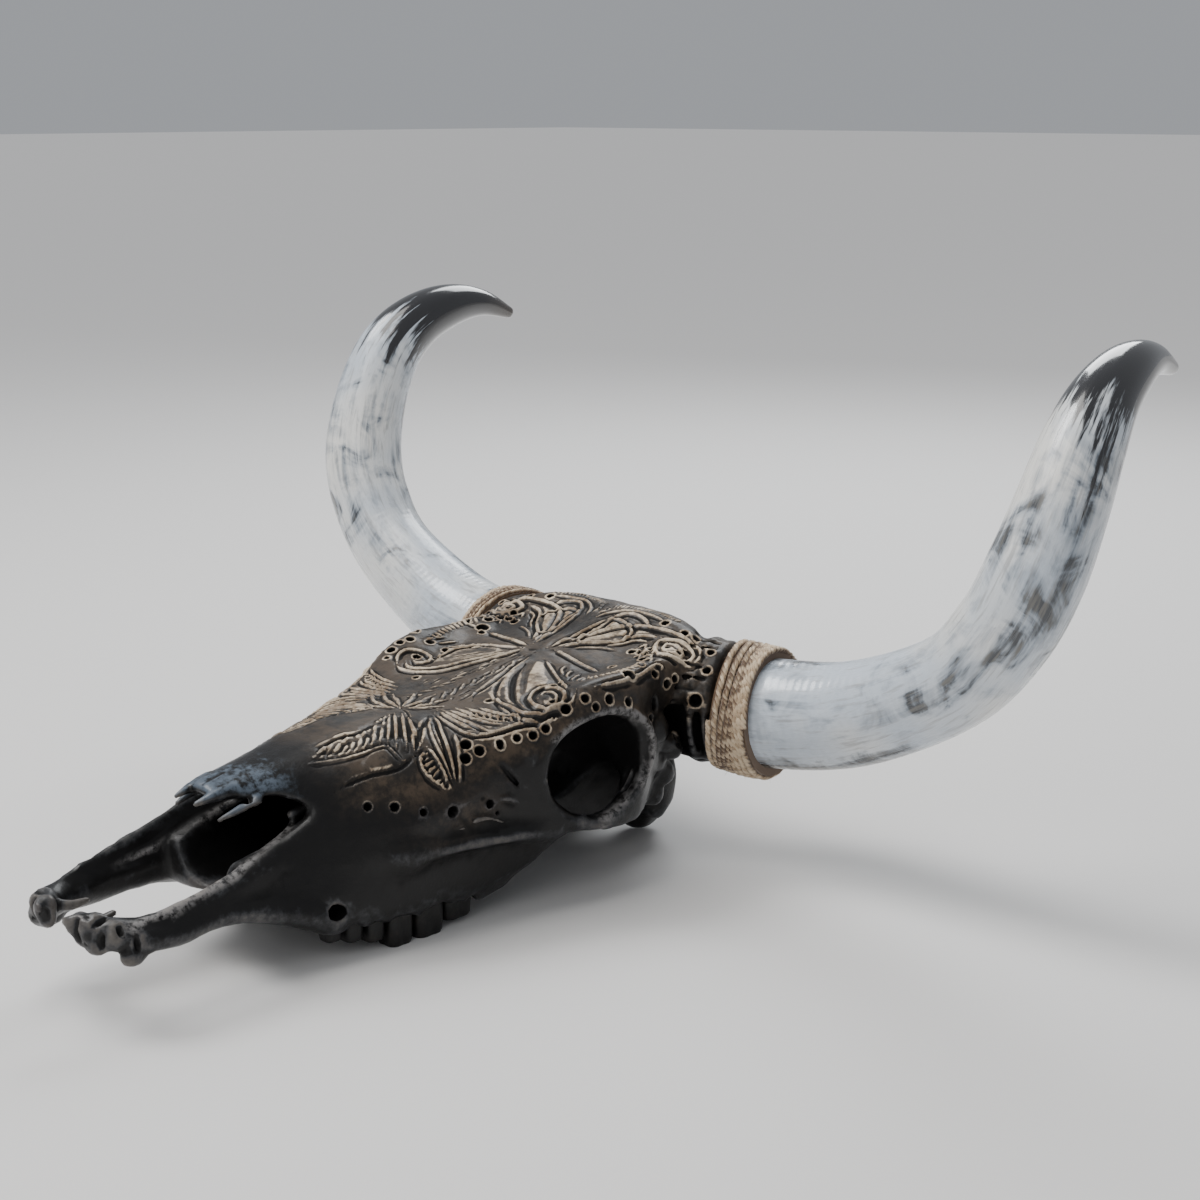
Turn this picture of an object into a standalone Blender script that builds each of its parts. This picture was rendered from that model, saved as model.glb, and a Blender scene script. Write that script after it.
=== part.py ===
# A carved cow skull with polished horns, lying on its cheek teeth and the two knuckles of its neck joint.
# Lengths below are written in millimetres. X runs across the skull (+X is the animal's left), the snout
# points to -Y, and Z is up from the surface that the skull lies on.
import math

import bmesh
import bpy
from mathutils import Matrix, Vector

MM = 0.001
GAP = 0.35              # clearance between pieces that touch in the real object
FRAME_Y = -100.75       # moves the middle of the whole object's length to Y = 0
FINE_ANGLE = math.radians(42)

# Outline of the solid bone at stations along Y, before anything is hollowed out. Each row is the height of
# the roof on the mid-line, then six points (x, z) down the left side, then the height of the palate.
SECTIONS = [
    # y   roof  forehead    brow       rim        cheek      jaw        margin    palate
    (-133, 118, (8, 117), (15, 113), (26, 98), (38, 72), (46, 56), (45, 46), 47),
    (-108, 122, (10, 121), (20, 115), (32, 99), (43, 74), (50, 54), (50, 37), 41),
    (-86, 125, (12, 124), (24, 118), (37, 102), (49, 78), (57, 50), (57, 23), 35),
    (-58, 129, (15, 129), (30, 122), (47, 106), (60, 80), (66, 50), (64, 16), 30),
    (-28, 132, (20, 131), (39, 124), (59, 109), (74, 82), (73, 48), (68, 12), 28),
    (5, 132, (26, 132), (52, 126), (70, 112), (81, 88), (75, 50), (69, 12), 28),
    (38, 133, (36, 131), (68, 127), (83, 114), (88, 92), (80, 50), (68, 11), 30),
    (68, 136, (46, 134), (81, 133), (93, 118), (97, 96), (94, 54), (67, 20), 38),
    (95, 140, (56, 138), (89, 145), (100, 129), (105, 98), (106, 56), (58, 44), 48),
    (122, 144, (60, 141), (92, 151), (102, 133), (108, 98), (107, 50), (54, 42), 46),
    (150, 148, (62, 143), (92, 150), (102, 132), (106, 98), (103, 47), (48, 34), 42),
    (178, 153, (60, 146), (90, 151), (98, 134), (96, 100), (86, 48), (46, 28), 36),
    (205, 160, (56, 154), (87, 154), (97, 138), (84, 104), (68, 54), (44, 24), 30),
    (230, 166, (48, 165), (80, 161), (88, 144), (64, 106), (54, 58), (38, 22), 30),
    (248, 165, (44, 164), (68, 157), (74, 138), (52, 106), (44, 64), (32, 30), 36),
]
RING_HALF = 14          # ring points from the roof to the palate on each side
RINGS_BETWEEN = 2       # rings from one station to the next

# One upper jaw bar of the muzzle: centre (x, y, z) and half sizes across and up, from root to tip.
MUZZLE_BAR = [
    ((40, -104, 63), (7, 20)),
    ((41, -130, 60), (6.5, 14.5)),
    ((41, -158, 57), (6.5, 11)),
    ((41, -184, 56.5), (6.5, 8.5)),
    ((39, -204, 55.5), (8.5, 9)),
    ((32, -222, 57.5), (11, 10)),
    ((20, -235, 61.5), (8.5, 9)),
    ((9, -240, 65), (5, 6)),
]

# The right bar keeps the thin plate that reaches up to the nasal bones; the left one has lost it.
RIGHT_PLATE = [
    ((-37, -214, 63), (3, 5)),
    ((-41, -196, 66), (3.5, 9)),
    ((-42, -168, 69), (3.5, 13)),
    ((-42, -140, 75), (3.5, 15)),
    ((-42, -112, 82), (4, 17)),
    ((-38, -86, 88), (4, 14)),
]

# Rounded lumps and hollows of the left side: centre, then half sizes.
CONDYLE = ((29, 231, 25), (17.5, 22, 25))
EAR_BULLA = ((42.6, 181, 31), (12, 18, 15))
ORBIT = ((104, 112, 94), (58, 41, 35.5))
ORBIT_TURN = math.radians(-12)
TEMPLE_HOLLOW = ((108, 194, 94), (54, 24, 26))
UNDER_ARCH = ((74, 132, 50), (21, 46, 36))

# The prong beside each knuckle, then the hollows on the mid-line, as (centre, (half across, half up)) rows.
NECK_PRONG = [((48, 214, 46), (8, 26)), ((49, 228, 38), (9, 27)), ((50, 243, 44), (7, 20))]
BRAIN_CASE = [
    ((0, 262, 40), (17, 17)),
    ((0, 236, 42), (17, 17)),
    ((0, 222, 62), (30, 30)),
    ((0, 190, 84), (38, 40)),
    ((0, 158, 92), (30, 32)),
    ((0, 140, 94), (12, 14)),
]
MUZZLE_SLOT = [
    ((0, -262, 55), (1.6, 40)),
    ((0, -234, 55), (1.8, 40)),
    ((0, -226, 55), (9, 40)),
    ((0, -206, 52), (29, 34)),
    ((0, -160, 50), (30, 30)),
    ((0, -140, 46), (18, 26)),
    ((0, -132, 46), (6, 14)),
]
THROAT = [((0, 58, 30), (16, 14)), ((0, 80, 44), (19, 26)), ((0, 112, 40), (17, 20)), ((0, 134, 34), (13, 12))]
NASAL_TUNNEL = [
    ((0, -150, 79), (27, 31)),
    ((0, -128, 80), (27, 30)),
    ((0, -100, 79), (32, 33)),
    ((0, -70, 80), (38, 36)),
    ((0, -30, 80), (46, 38)),
    ((0, 10, 80), (44, 36)),
    ((0, 44, 82), (34, 30)),
    ((0, 70, 74), (20, 24)),
    ((0, 86, 66), (14, 16)),
]
# Side view (y, z) of the wedge between the nasal bones above and the muzzle bars below, open at the front.
NASAL_OPENING = [(-150, 68), (-128, 75), (-98, 85), (-79, 94), (-77, 99), (-92, 106), (-125, 109), (-150, 110)]
NASAL_OPENING_HALF = 60

# Horn axis of the left side, from inside the skull to the tip, with the horn's radius at each knot.
HORN_AXIS = [
    ((72, 226, 114), 38.0),
    ((108, 242, 110.5), 38.5),
    ((140.5, 252.5, 108), 38.8),
    ((205, 257.5, 121), 36.4),
    ((277, 260.5, 157), 32.8),
    ((312, 264, 197), 32.6),
    ((328.5, 271, 236), 32.3),
    ((335, 286.5, 277), 30.0),
    ((335, 307, 311.5), 27.4),
    ((332, 334, 337.5), 23.5),
    ((328.5, 368.5, 353.5), 18.8),
    ((325, 404, 357), 12.0),
    ((322.5, 440, 347.5), 4.6),
]
RIGHT_DROOP = [0, 0, 0, 1, 1.5, 0.5, 0, 2, 4, 1, -3, -6, -9]   # the right horn's heights against the left's
AXIS_STEPS = 2          # rings between two knots
TURN_STEPS = 16         # steps that carry a ring's cross directions from knot to knot
HORN_SIDES = 16
# Places along the axis, counted in knots.
BONE_START = 0.0
FLARE_START = 0.15
FLARE_END = 0.84
ROPE_START = 0.92
PEG_START = 1.0
SHEATH_START = 1.25     # the bone's round base ends and the horn begins
ROPE_END = 1.96
PEG_END = 2.5           # the bony peg inside the horn ends
JOINT_PLAY = 0.01
PEG_PLAY = 0.05
BORE_OVERRUN = 0.2
# Radii against the horn's own radius.
PEG_CLEAR = 1.2
PEG_INSET = 9.0
CORE_FLARE = 4.5        # the bone swells by this much where it meets the rope
ROPE_THICK = 8.5
ROPE_CLEAR = GAP + 0.15

# Cheek teeth of one side, front to back: name, centre y, length, width, height of the crown's low face.
TEETH = [
    ("premolar_1", -75.0, 12.6, 13.0, 14.0),
    ("premolar_2", -61.2, 13.8, 15.0, 11.0),
    ("premolar_3", -46.4, 14.6, 17.0, 7.5),
    ("molar_1", -28.2, 20.6, 20.0, 0.0),
    ("molar_2", -5.2, 24.2, 21.0, 0.0),
    ("molar_3", 19.8, 24.6, 20.0, 4.5),
]
TOOTH_ROW_X = (50.5, 57.0, 57.5)     # middle of the row at its front, middle and rear
TOOTH_TOP = 30.0
TOOTH_ROUND = 3.0
SOCKET_DROP = 20        # the cutters reach this far below the crowns

bone = dict(color=(0.020, 0.018, 0.017, 1), rough=0.32)
horn_look = dict(color=(0.74, 0.76, 0.78, 1), rough=0.18)
rope_look = dict(color=(0.46, 0.32, 0.20, 1), rough=0.9)
tooth_look = dict(color=(0.030, 0.027, 0.024, 1), rough=0.35)


def clear_scene():
    for item in list(bpy.data.objects):
        bpy.data.objects.remove(item, do_unlink=True)


def make_material(name, look):
    material = bpy.data.materials.new(name)
    material.use_nodes = True
    shader = material.node_tree.nodes["Principled BSDF"]
    shader.inputs["Base Color"].default_value = look["color"]
    shader.inputs["Roughness"].default_value = look["rough"]
    shader.inputs["Metallic"].default_value = 0.0
    return material


def frame_point(point):
    # millimetres of the design to metres of the part's frame
    return Vector((point[0], point[1] + FRAME_Y, point[2])) * MM


def curve_point(points, place):
    # Catmull-Rom curve through equally numbered points; place counts in points
    last = len(points) - 1
    index = min(int(place), last - 1)
    t = place - index

    def at(i):
        if i < 0:
            return points[0] * 2 - points[1]
        if i > last:
            return points[last] * 2 - points[last - 1]
        return points[i]

    p0, p1, p2, p3 = (at(index + k) for k in (-1, 0, 1, 2))
    return 0.5 * (2 * p1 + (p2 - p0) * t + (2 * p0 - 5 * p1 + 4 * p2 - p3) * t * t
                  + (3 * p1 - 3 * p2 + p3 - p0) * t ** 3)


def new_object(name, mesh_data, material=None):
    mesh = bpy.data.meshes.new(name)
    bmesh.ops.recalc_face_normals(mesh_data, faces=mesh_data.faces)
    mesh_data.to_mesh(mesh)
    mesh_data.free()
    item = bpy.data.objects.new(name, mesh)
    bpy.context.scene.collection.objects.link(item)
    if material:
        mesh.materials.append(material)
        mesh.shade_smooth()
        mesh.set_sharp_from_angle(angle=FINE_ANGLE)
    return item


def loft(rings):
    # closed skin through rings of equal length, with a flat cap on each end
    data = bmesh.new()
    loops = [[data.verts.new(frame_point(point)) for point in ring] for ring in rings]
    for low, high in zip(loops, loops[1:]):
        count = len(low)
        for i in range(count):
            data.faces.new((low[i], low[(i + 1) % count], high[(i + 1) % count], high[i]))
    data.faces.new(list(reversed(loops[0])))
    data.faces.new(loops[-1])
    return data


def ball(name, centre, radii, turn_z=0.0, levels=3):
    data = bmesh.new()
    bmesh.ops.create_icosphere(data, subdivisions=levels, radius=1.0)
    size = Matrix.Diagonal((radii[0] * MM, radii[1] * MM, radii[2] * MM, 1))
    place = Matrix.Translation(frame_point(centre)) @ Matrix.Rotation(turn_z, 4, "Z") @ size
    bmesh.ops.transform(data, matrix=place, verts=data.verts)
    return new_object(name, data)


def bar(name, points, sides=10):
    # a tapered round bar through (centre, (half across, half up)) rows; it runs mostly along Y
    rings = []
    for (x, y, z), (wide, tall) in points:
        angles = [2 * math.pi * i / sides for i in range(sides)]
        rings.append([(x + wide * math.cos(a), y, z + tall * math.sin(a)) for a in angles])
    return new_object(name, loft(rings))


def mirrored(item):
    # a copy on the other side of the mid-line
    twin = item.copy()
    twin.data = item.data.copy()
    twin.name = item.name + "_right"
    bpy.context.scene.collection.objects.link(twin)
    data = bmesh.new()
    data.from_mesh(twin.data)
    bmesh.ops.scale(data, vec=(-1, 1, 1), verts=data.verts)
    bmesh.ops.reverse_faces(data, faces=data.faces)
    data.to_mesh(twin.data)
    data.free()
    return twin


def with_mirrored(tools):
    return [item for tool in tools for item in (tool, mirrored(tool))]


def combine(body, tool, operation):
    modifier = body.modifiers.new(tool.name, "BOOLEAN")
    modifier.operation = operation
    modifier.object = tool
    modifier.solver = "EXACT"
    tool.hide_render = True
    tool.display_type = "WIRE"


def station(place):
    # one row of SECTIONS as vectors (x, y, z), at a place counted in rows
    rows = []
    for y, roof, *side, palate in SECTIONS:
        rows.append([Vector((x, y, z)) for x, z in [(0, roof)] + side + [(0, palate)]])
    return [curve_point(column, place) for column in zip(*rows)]


def outline_ring(place):
    points = station(place)
    # one more point carries the curve across the mid-line at each end
    first = Vector((-points[1].x, points[1].y, points[1].z))
    last = Vector((-points[-2].x, points[-2].y, points[-2].z))
    points = [first] + points + [last]
    span = len(points) - 3
    side = [curve_point(points, 1 + span * i / RING_HALF) for i in range(RING_HALF + 1)]
    side[0].x = side[-1].x = 0
    left = [tuple(point) for point in side]
    right = [(-x, y, z) for x, y, z in reversed(left[1:-1])]
    return left + right


def axis_knots(side):
    droop = RIGHT_DROOP if side < 0 else [0] * len(HORN_AXIS)
    return [Vector((x, y, z + down, radius)) for ((x, y, z), radius), down in zip(HORN_AXIS, droop)]


def axis_frame(knots, place):
    # middle, radius and two cross directions, carried without twist from the first knot
    last = len(knots) - 1
    across = Vector((0, 1, 0))
    stops = [i / TURN_STEPS for i in range(int(place * TURN_STEPS) + 1)] + [place]
    for stop in stops:
        step = curve_point(knots, min(stop + 0.02, last)) - curve_point(knots, max(stop - 0.02, 0))
        along = Vector(step[:3]).normalized()
        across = (across - along * across.dot(along)).normalized()
    here = curve_point(knots, place)
    return Vector(here[:3]), here.w, across, along.cross(across)


def ring_round(centre, radius, across, other, side, sides=HORN_SIDES):
    points = []
    for i in range(sides):
        angle = 2 * math.pi * i / sides
        point = centre + across * radius * math.cos(angle) + other * radius * math.sin(angle)
        points.append((side * point.x, point.y, point.z))
    return points


def axis_solid(name, side, start, end, grow, material=None, per_knot=AXIS_STEPS):
    # a round solid along a stretch of the horn's axis, its radius grown by a fixed amount
    knots = axis_knots(side)
    inner = [i / per_knot for i in range(len(knots) * per_knot) if start + 0.1 < i / per_knot < end - 0.1]
    rings = []
    for place in [start] + inner + [end]:
        centre, radius, across, other = axis_frame(knots, place)
        rings.append(ring_round(centre, max(radius + grow, 1.5), across, other, side))
    return new_object(name, loft(rings), material)


def make_skull(material):
    steps = (len(SECTIONS) - 1) * RINGS_BETWEEN
    rings = [outline_ring(i / RINGS_BETWEEN) for i in range(steps + 1)]
    skull = new_object("skull", loft(rings), material)

    add = [
        bar("muzzle_bar", MUZZLE_BAR),
        ball("condyle", *CONDYLE, levels=2),
        bar("neck_prong", NECK_PRONG),
        ball("ear_bulla", *EAR_BULLA, levels=2),
    ]
    add = with_mirrored(add)
    for side, tag in ((1, "left"), (-1, "right")):
        add.append(axis_solid("core_base_" + tag, side, BONE_START, SHEATH_START - JOINT_PLAY, 0.0))
        add.append(axis_solid("core_root_" + tag, side, FLARE_START, FLARE_END, CORE_FLARE))
        add.append(axis_solid("core_peg_" + tag, side, PEG_START, PEG_END, -PEG_INSET))
    for tool in add:
        combine(skull, tool, "UNION")

    cut = [
        ball("orbit", *ORBIT, turn_z=ORBIT_TURN),
        ball("temple_hollow", *TEMPLE_HOLLOW, levels=2),
        ball("under_arch", *UNDER_ARCH, levels=2),
    ]
    cut = with_mirrored(cut)
    cut.append(side_prism("nasal_opening", NASAL_OPENING, NASAL_OPENING_HALF))
    cut.append(bar("nasal_tunnel", NASAL_TUNNEL, sides=16))
    cut.append(bar("brain_case", BRAIN_CASE, sides=14))
    cut.append(bar("muzzle_slot", MUZZLE_SLOT, sides=14))
    cut.append(bar("throat", THROAT, sides=12))
    cut += tooth_sockets()
    for tool in cut:
        combine(skull, tool, "DIFFERENCE")
    combine(skull, bar("right_nasal_plate", RIGHT_PLATE), "UNION")
    return skull


def side_prism(name, outline, half_width):
    # a side-view outline (y, z) pulled across the skull
    data = bmesh.new()
    verts = [data.verts.new(frame_point((-half_width, y, z))) for y, z in outline]
    face = data.faces.new(verts)
    grown = bmesh.ops.extrude_face_region(data, geom=[face])
    moved = [item for item in grown["geom"] if isinstance(item, bmesh.types.BMVert)]
    bmesh.ops.translate(data, vec=(2 * half_width * MM, 0, 0), verts=moved)
    return new_object(name, data)


def tooth_x(y):
    front, middle, rear = TOOTH_ROW_X
    t = (y - TEETH[0][1]) / (TEETH[-1][1] - TEETH[0][1])
    return front * (1 - t) * (1 - 2 * t) + middle * 4 * t * (1 - t) + rear * t * (2 * t - 1)


def tooth_block(name, side, row, grow, top, material=None):
    tag, y, length, width, low = row
    low = low - (SOCKET_DROP if grow else 0)
    data = bmesh.new()
    bmesh.ops.create_cube(data, size=1.0)
    size = Matrix.Diagonal(((width + 2 * grow) * MM, (length + 2 * grow) * MM, (top - low) * MM, 1))
    middle = frame_point((side * tooth_x(y), y, (top + low) / 2))
    bmesh.ops.transform(data, matrix=Matrix.Translation(middle) @ size, verts=data.verts)
    upright = [edge for edge in data.edges
               if abs(edge.verts[0].co.z - edge.verts[1].co.z) > 0.001]
    bmesh.ops.bevel(data, geom=upright, offset=(TOOTH_ROUND + grow) * MM, segments=2, profile=0.5, affect="EDGES")
    return new_object(name, data, material)


def tooth_sockets():
    tools = []
    for side, tag in ((1, "left"), (-1, "right")):
        for row in TEETH:
            tools.append(tooth_block("socket_%s_%s" % (row[0], tag), side, row, GAP, TOOTH_TOP + GAP))
    return tools


def make_teeth(material):
    for side, tag in ((1, "left"), (-1, "right")):
        for row in TEETH:
            tooth_block("%s_%s" % (row[0], tag), side, row, 0, TOOTH_TOP, material)


def make_horns(material):
    last = len(HORN_AXIS) - 1
    for side, tag in ((1, "left"), (-1, "right")):
        horn = axis_solid("horn_" + tag, side, SHEATH_START + JOINT_PLAY, last, 0.0, material)
        socket = axis_solid("horn_socket_" + tag, side, PEG_START, PEG_END + PEG_PLAY, PEG_CLEAR - PEG_INSET)
        combine(horn, socket, "DIFFERENCE")


def make_rope_wraps(material):
    # a plain sleeve round the joint of bone and horn; it stands for the whole winding
    for side, tag in ((1, "left"), (-1, "right")):
        sleeve = axis_solid("rope_wrap_" + tag, side, ROPE_START, ROPE_END, ROPE_THICK, material, per_knot=4)
        bore = axis_solid("rope_bore_" + tag, side, ROPE_START - BORE_OVERRUN, ROPE_END + BORE_OVERRUN, ROPE_CLEAR)
        combine(sleeve, bore, "DIFFERENCE")


clear_scene()
make_skull(make_material("blackened_bone", bone))
make_horns(make_material("polished_horn", horn_look))
make_rope_wraps(make_material("jute_rope", rope_look))
make_teeth(make_material("tooth_enamel", tooth_look))
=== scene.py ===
import math

import bpy
import numpy as np
import openvdb as vdb
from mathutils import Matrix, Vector
from mathutils.bvhtree import BVHTree


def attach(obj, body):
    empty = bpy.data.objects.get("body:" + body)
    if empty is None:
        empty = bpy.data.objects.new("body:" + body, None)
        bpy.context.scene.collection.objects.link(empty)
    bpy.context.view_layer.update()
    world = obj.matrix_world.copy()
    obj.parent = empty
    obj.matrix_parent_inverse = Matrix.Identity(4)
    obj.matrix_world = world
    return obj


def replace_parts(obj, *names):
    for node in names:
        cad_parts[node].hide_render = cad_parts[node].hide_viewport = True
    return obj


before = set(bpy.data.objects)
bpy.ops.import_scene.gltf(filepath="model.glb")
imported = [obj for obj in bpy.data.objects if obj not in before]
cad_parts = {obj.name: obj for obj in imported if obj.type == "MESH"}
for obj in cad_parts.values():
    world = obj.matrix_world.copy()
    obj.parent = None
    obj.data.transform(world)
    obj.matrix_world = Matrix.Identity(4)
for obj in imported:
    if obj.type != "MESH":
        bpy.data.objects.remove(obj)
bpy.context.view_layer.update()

# The skull was drawn in mm from a point 100.75 mm in front of the part's own zero, +Y towards the neck
drawnY = -100.75
mm = 0.001
sideNames = ((1, "left"), (-1, "right"))   # +X is the animal's left, the side that faces the camera
left, right, both = (1,), (-1,), (1, -1)   # where a stroke, a rod or a hole is made


def report(stage):
    print("stage:", stage)


def toPart(points):
    placed = np.array(points, float)
    placed[:, 1] += drawnY
    return placed * mm


# Camera, floor and lights

view = {
    "azimuth": 44.134,       # degrees, from the front towards the animal's left
    "elevation": 13.864,
    "distance": 1175.58,     # mm to the point looked at
    "look at": (193.085, 20.0, 239.68),
    "lens": 60.55,
    "sensor": 36.0,
    "nearest": 0.05,         # m, nothing closer is seen
}
studio = {
    "floor colour": (0.70, 0.69, 0.68),
    "floor roughness": 0.85,
    "floor size": 60.0,      # m
    "world colour": (0.82, 0.85, 0.90),
    "world strength": 0.44,
    "sun": (-70, 52, 1.5, 24),   # azimuth, elevation, strength, softness in degrees
    "lit point": (0, 0, 0.15),
    # name: (azimuth, elevation, distance, size, power, colour)
    "lights": {
        "overhead": (-35, 68, 2.0, 1.5, 30, (1.0, 0.98, 0.95)),
        "rearLeft": (205, 38, 2.2, 1.1, 26, (0.95, 0.98, 1.0)),
        "front": (20, 30, 2.6, 1.3, 12, (1.0, 0.99, 0.97)),
    },
}


def ballPoint(azimuth, elevation, distance, centre):
    a, e = math.radians(azimuth), math.radians(elevation)
    back = Vector((math.sin(a) * math.cos(e), -math.cos(a) * math.cos(e), math.sin(e)))
    return centre + back * distance


def stand(thing, place, target):
    # Puts a camera or a lamp in its place, turned to the target
    thing.location = place
    thing.rotation_euler = (target - thing.location).to_track_quat("-Z", "Y").to_euler()
    bpy.context.scene.collection.objects.link(thing)


def makeStudio():
    scene = bpy.context.scene
    target = Vector(toPart([view["look at"]])[0])
    camera = bpy.data.objects.new("camera", bpy.data.cameras.new("camera"))
    camera.data.lens, camera.data.sensor_width = view["lens"], view["sensor"]
    camera.data.clip_start = view["nearest"]
    stand(camera, ballPoint(view["azimuth"], view["elevation"], view["distance"] * mm, target), target)
    scene.camera = camera
    half = studio["floor size"] / 2
    corners = [(-half, -half, 0), (half, -half, 0), (half, half, 0), (-half, half, 0)]
    floorMesh = bpy.data.meshes.new("studio_floor")
    floorMesh.from_pydata(corners, [], [(0, 1, 2, 3)])
    floor = bpy.data.objects.new("studio_floor", floorMesh)
    scene.collection.objects.link(floor)
    paper = bpy.data.materials.new("pale floor")
    paper.use_nodes = True
    shader = paper.node_tree.nodes["Principled BSDF"]
    shader.inputs["Base Color"].default_value = (*studio["floor colour"], 1)
    shader.inputs["Roughness"].default_value = studio["floor roughness"]
    floorMesh.materials.append(paper)
    world = bpy.data.worlds.new("studio")
    world.use_nodes = True
    air = world.node_tree.nodes["Background"]
    air.inputs["Color"].default_value = (*studio["world colour"], 1)
    air.inputs["Strength"].default_value = studio["world strength"]
    scene.world = world
    middle = Vector(studio["lit point"])
    for name, (azimuth, elevation, distance, size, power, colour) in studio["lights"].items():
        lamp = bpy.data.lights.new(name, "AREA")
        lamp.shape, lamp.size, lamp.energy, lamp.color = "SQUARE", size, power, colour
        stand(bpy.data.objects.new(name, lamp), ballPoint(azimuth, elevation, distance, middle), middle)
    azimuth, elevation, strength, softness = studio["sun"]
    lamp = bpy.data.lights.new("even light", "SUN")
    lamp.energy, lamp.angle = strength, math.radians(softness)
    stand(bpy.data.objects.new("even light", lamp), Vector(), -ballPoint(azimuth, elevation, 1, Vector()))


makeStudio()
report("camera, floor and lights")


# Node trees, for finishes and for Geometry Nodes alike

class Wire:
    # One output of a node; sums written with it add Math nodes
    def __init__(self, graph, socket):
        self.graph, self.socket = graph, socket

    def __add__(self, other):
        return self.graph.sum("ADD", self, other)

    def __radd__(self, other):
        return self.graph.sum("ADD", other, self)

    def __sub__(self, other):
        return self.graph.sum("SUBTRACT", self, other)

    def __rsub__(self, other):
        return self.graph.sum("SUBTRACT", other, self)

    def __mul__(self, other):
        return self.graph.sum("MULTIPLY", self, other)

    def __rmul__(self, other):
        return self.graph.sum("MULTIPLY", other, self)

    def __pow__(self, other):
        return self.graph.sum("POWER", self, other)

    def __rpow__(self, other):
        return self.graph.sum("POWER", other, self)


class Graph:
    def __init__(self, tree):
        self.tree = tree

    def node(self, kind, settings=None, sockets=None, out=0):
        # Settings come first, since some of them change which sockets there are
        made = self.tree.nodes.new(kind)
        for key, value in (settings or {}).items():
            setattr(made, key, value)
        for key, value in (sockets or {}).items():
            if isinstance(value, Wire):
                self.tree.links.new(value.socket, made.inputs[key])
            else:
                made.inputs[key].default_value = value
        return Wire(self, made.outputs[out])

    def sum(self, operation, a, b=0.0):
        return self.node("ShaderNodeMath", {"operation": operation}, {0: a, 1: b})

    def vector(self, operation, a, b):
        # A second vector is the node's socket 1, a scale its socket 3
        second = 3 if operation == "SCALE" else 1
        return self.node("ShaderNodeVectorMath", {"operation": operation}, {0: a, second: b})

    def step(self, value, low, high):
        # 0 below low, 1 above high, smooth between
        return self.node("ShaderNodeMapRange", {"interpolation_type": "SMOOTHSTEP"},
                         {"Value": value, "From Min": low, "From Max": high})

    def most(self, a, b):
        return self.sum("MAXIMUM", a, b)

    def sine(self, angle):
        return self.sum("SINE", angle)

    def cosine(self, angle):
        return self.sum("COSINE", angle)


class Finish(Graph):
    # A material whose Principled shader is filled in by colour, number or wire
    def __init__(self, name, fixed):
        self.material = bpy.data.materials.new(name)
        self.material.use_nodes = True
        super().__init__(self.material.node_tree)
        self.shader = self.tree.nodes["Principled BSDF"]
        for key, value in fixed.items():
            self.shader.inputs[key].default_value = value
        self.place = self.node("ShaderNodeTexCoord", out="Object")

    def noise(self, scale, detail, rough, at=None, twist=0.0):
        return self.node("ShaderNodeTexNoise", {}, {
            "Vector": at or self.place, "Scale": scale, "Detail": detail, "Roughness": rough,
            "Distortion": twist})

    def read(self, name, out="Fac"):
        return self.node("ShaderNodeAttribute", {"attribute_name": name}, out=out)

    def mix(self, share, a, b):
        # The node's colours are its sockets 6 and 7, and the mixed one is its output 2
        a, b = [(*c, 1) if isinstance(c, tuple) else c for c in (a, b)]
        return self.node("ShaderNodeMix", {"data_type": "RGBA"}, {0: share, 6: a, 7: b}, 2)

    def feed(self, **wires):
        names = {"colour": "Base Color", "roughness": "Roughness", "coat": "Coat Weight"}
        for key, value in wires.items():
            self.tree.links.new(value.socket, self.shader.inputs[names[key]])

    def bump(self, height, distance, strength):
        normal = self.node("ShaderNodeBump", {},
                           {"Height": height, "Distance": distance, "Strength": strength})
        self.tree.links.new(normal.socket, self.shader.inputs["Normal"])


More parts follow.
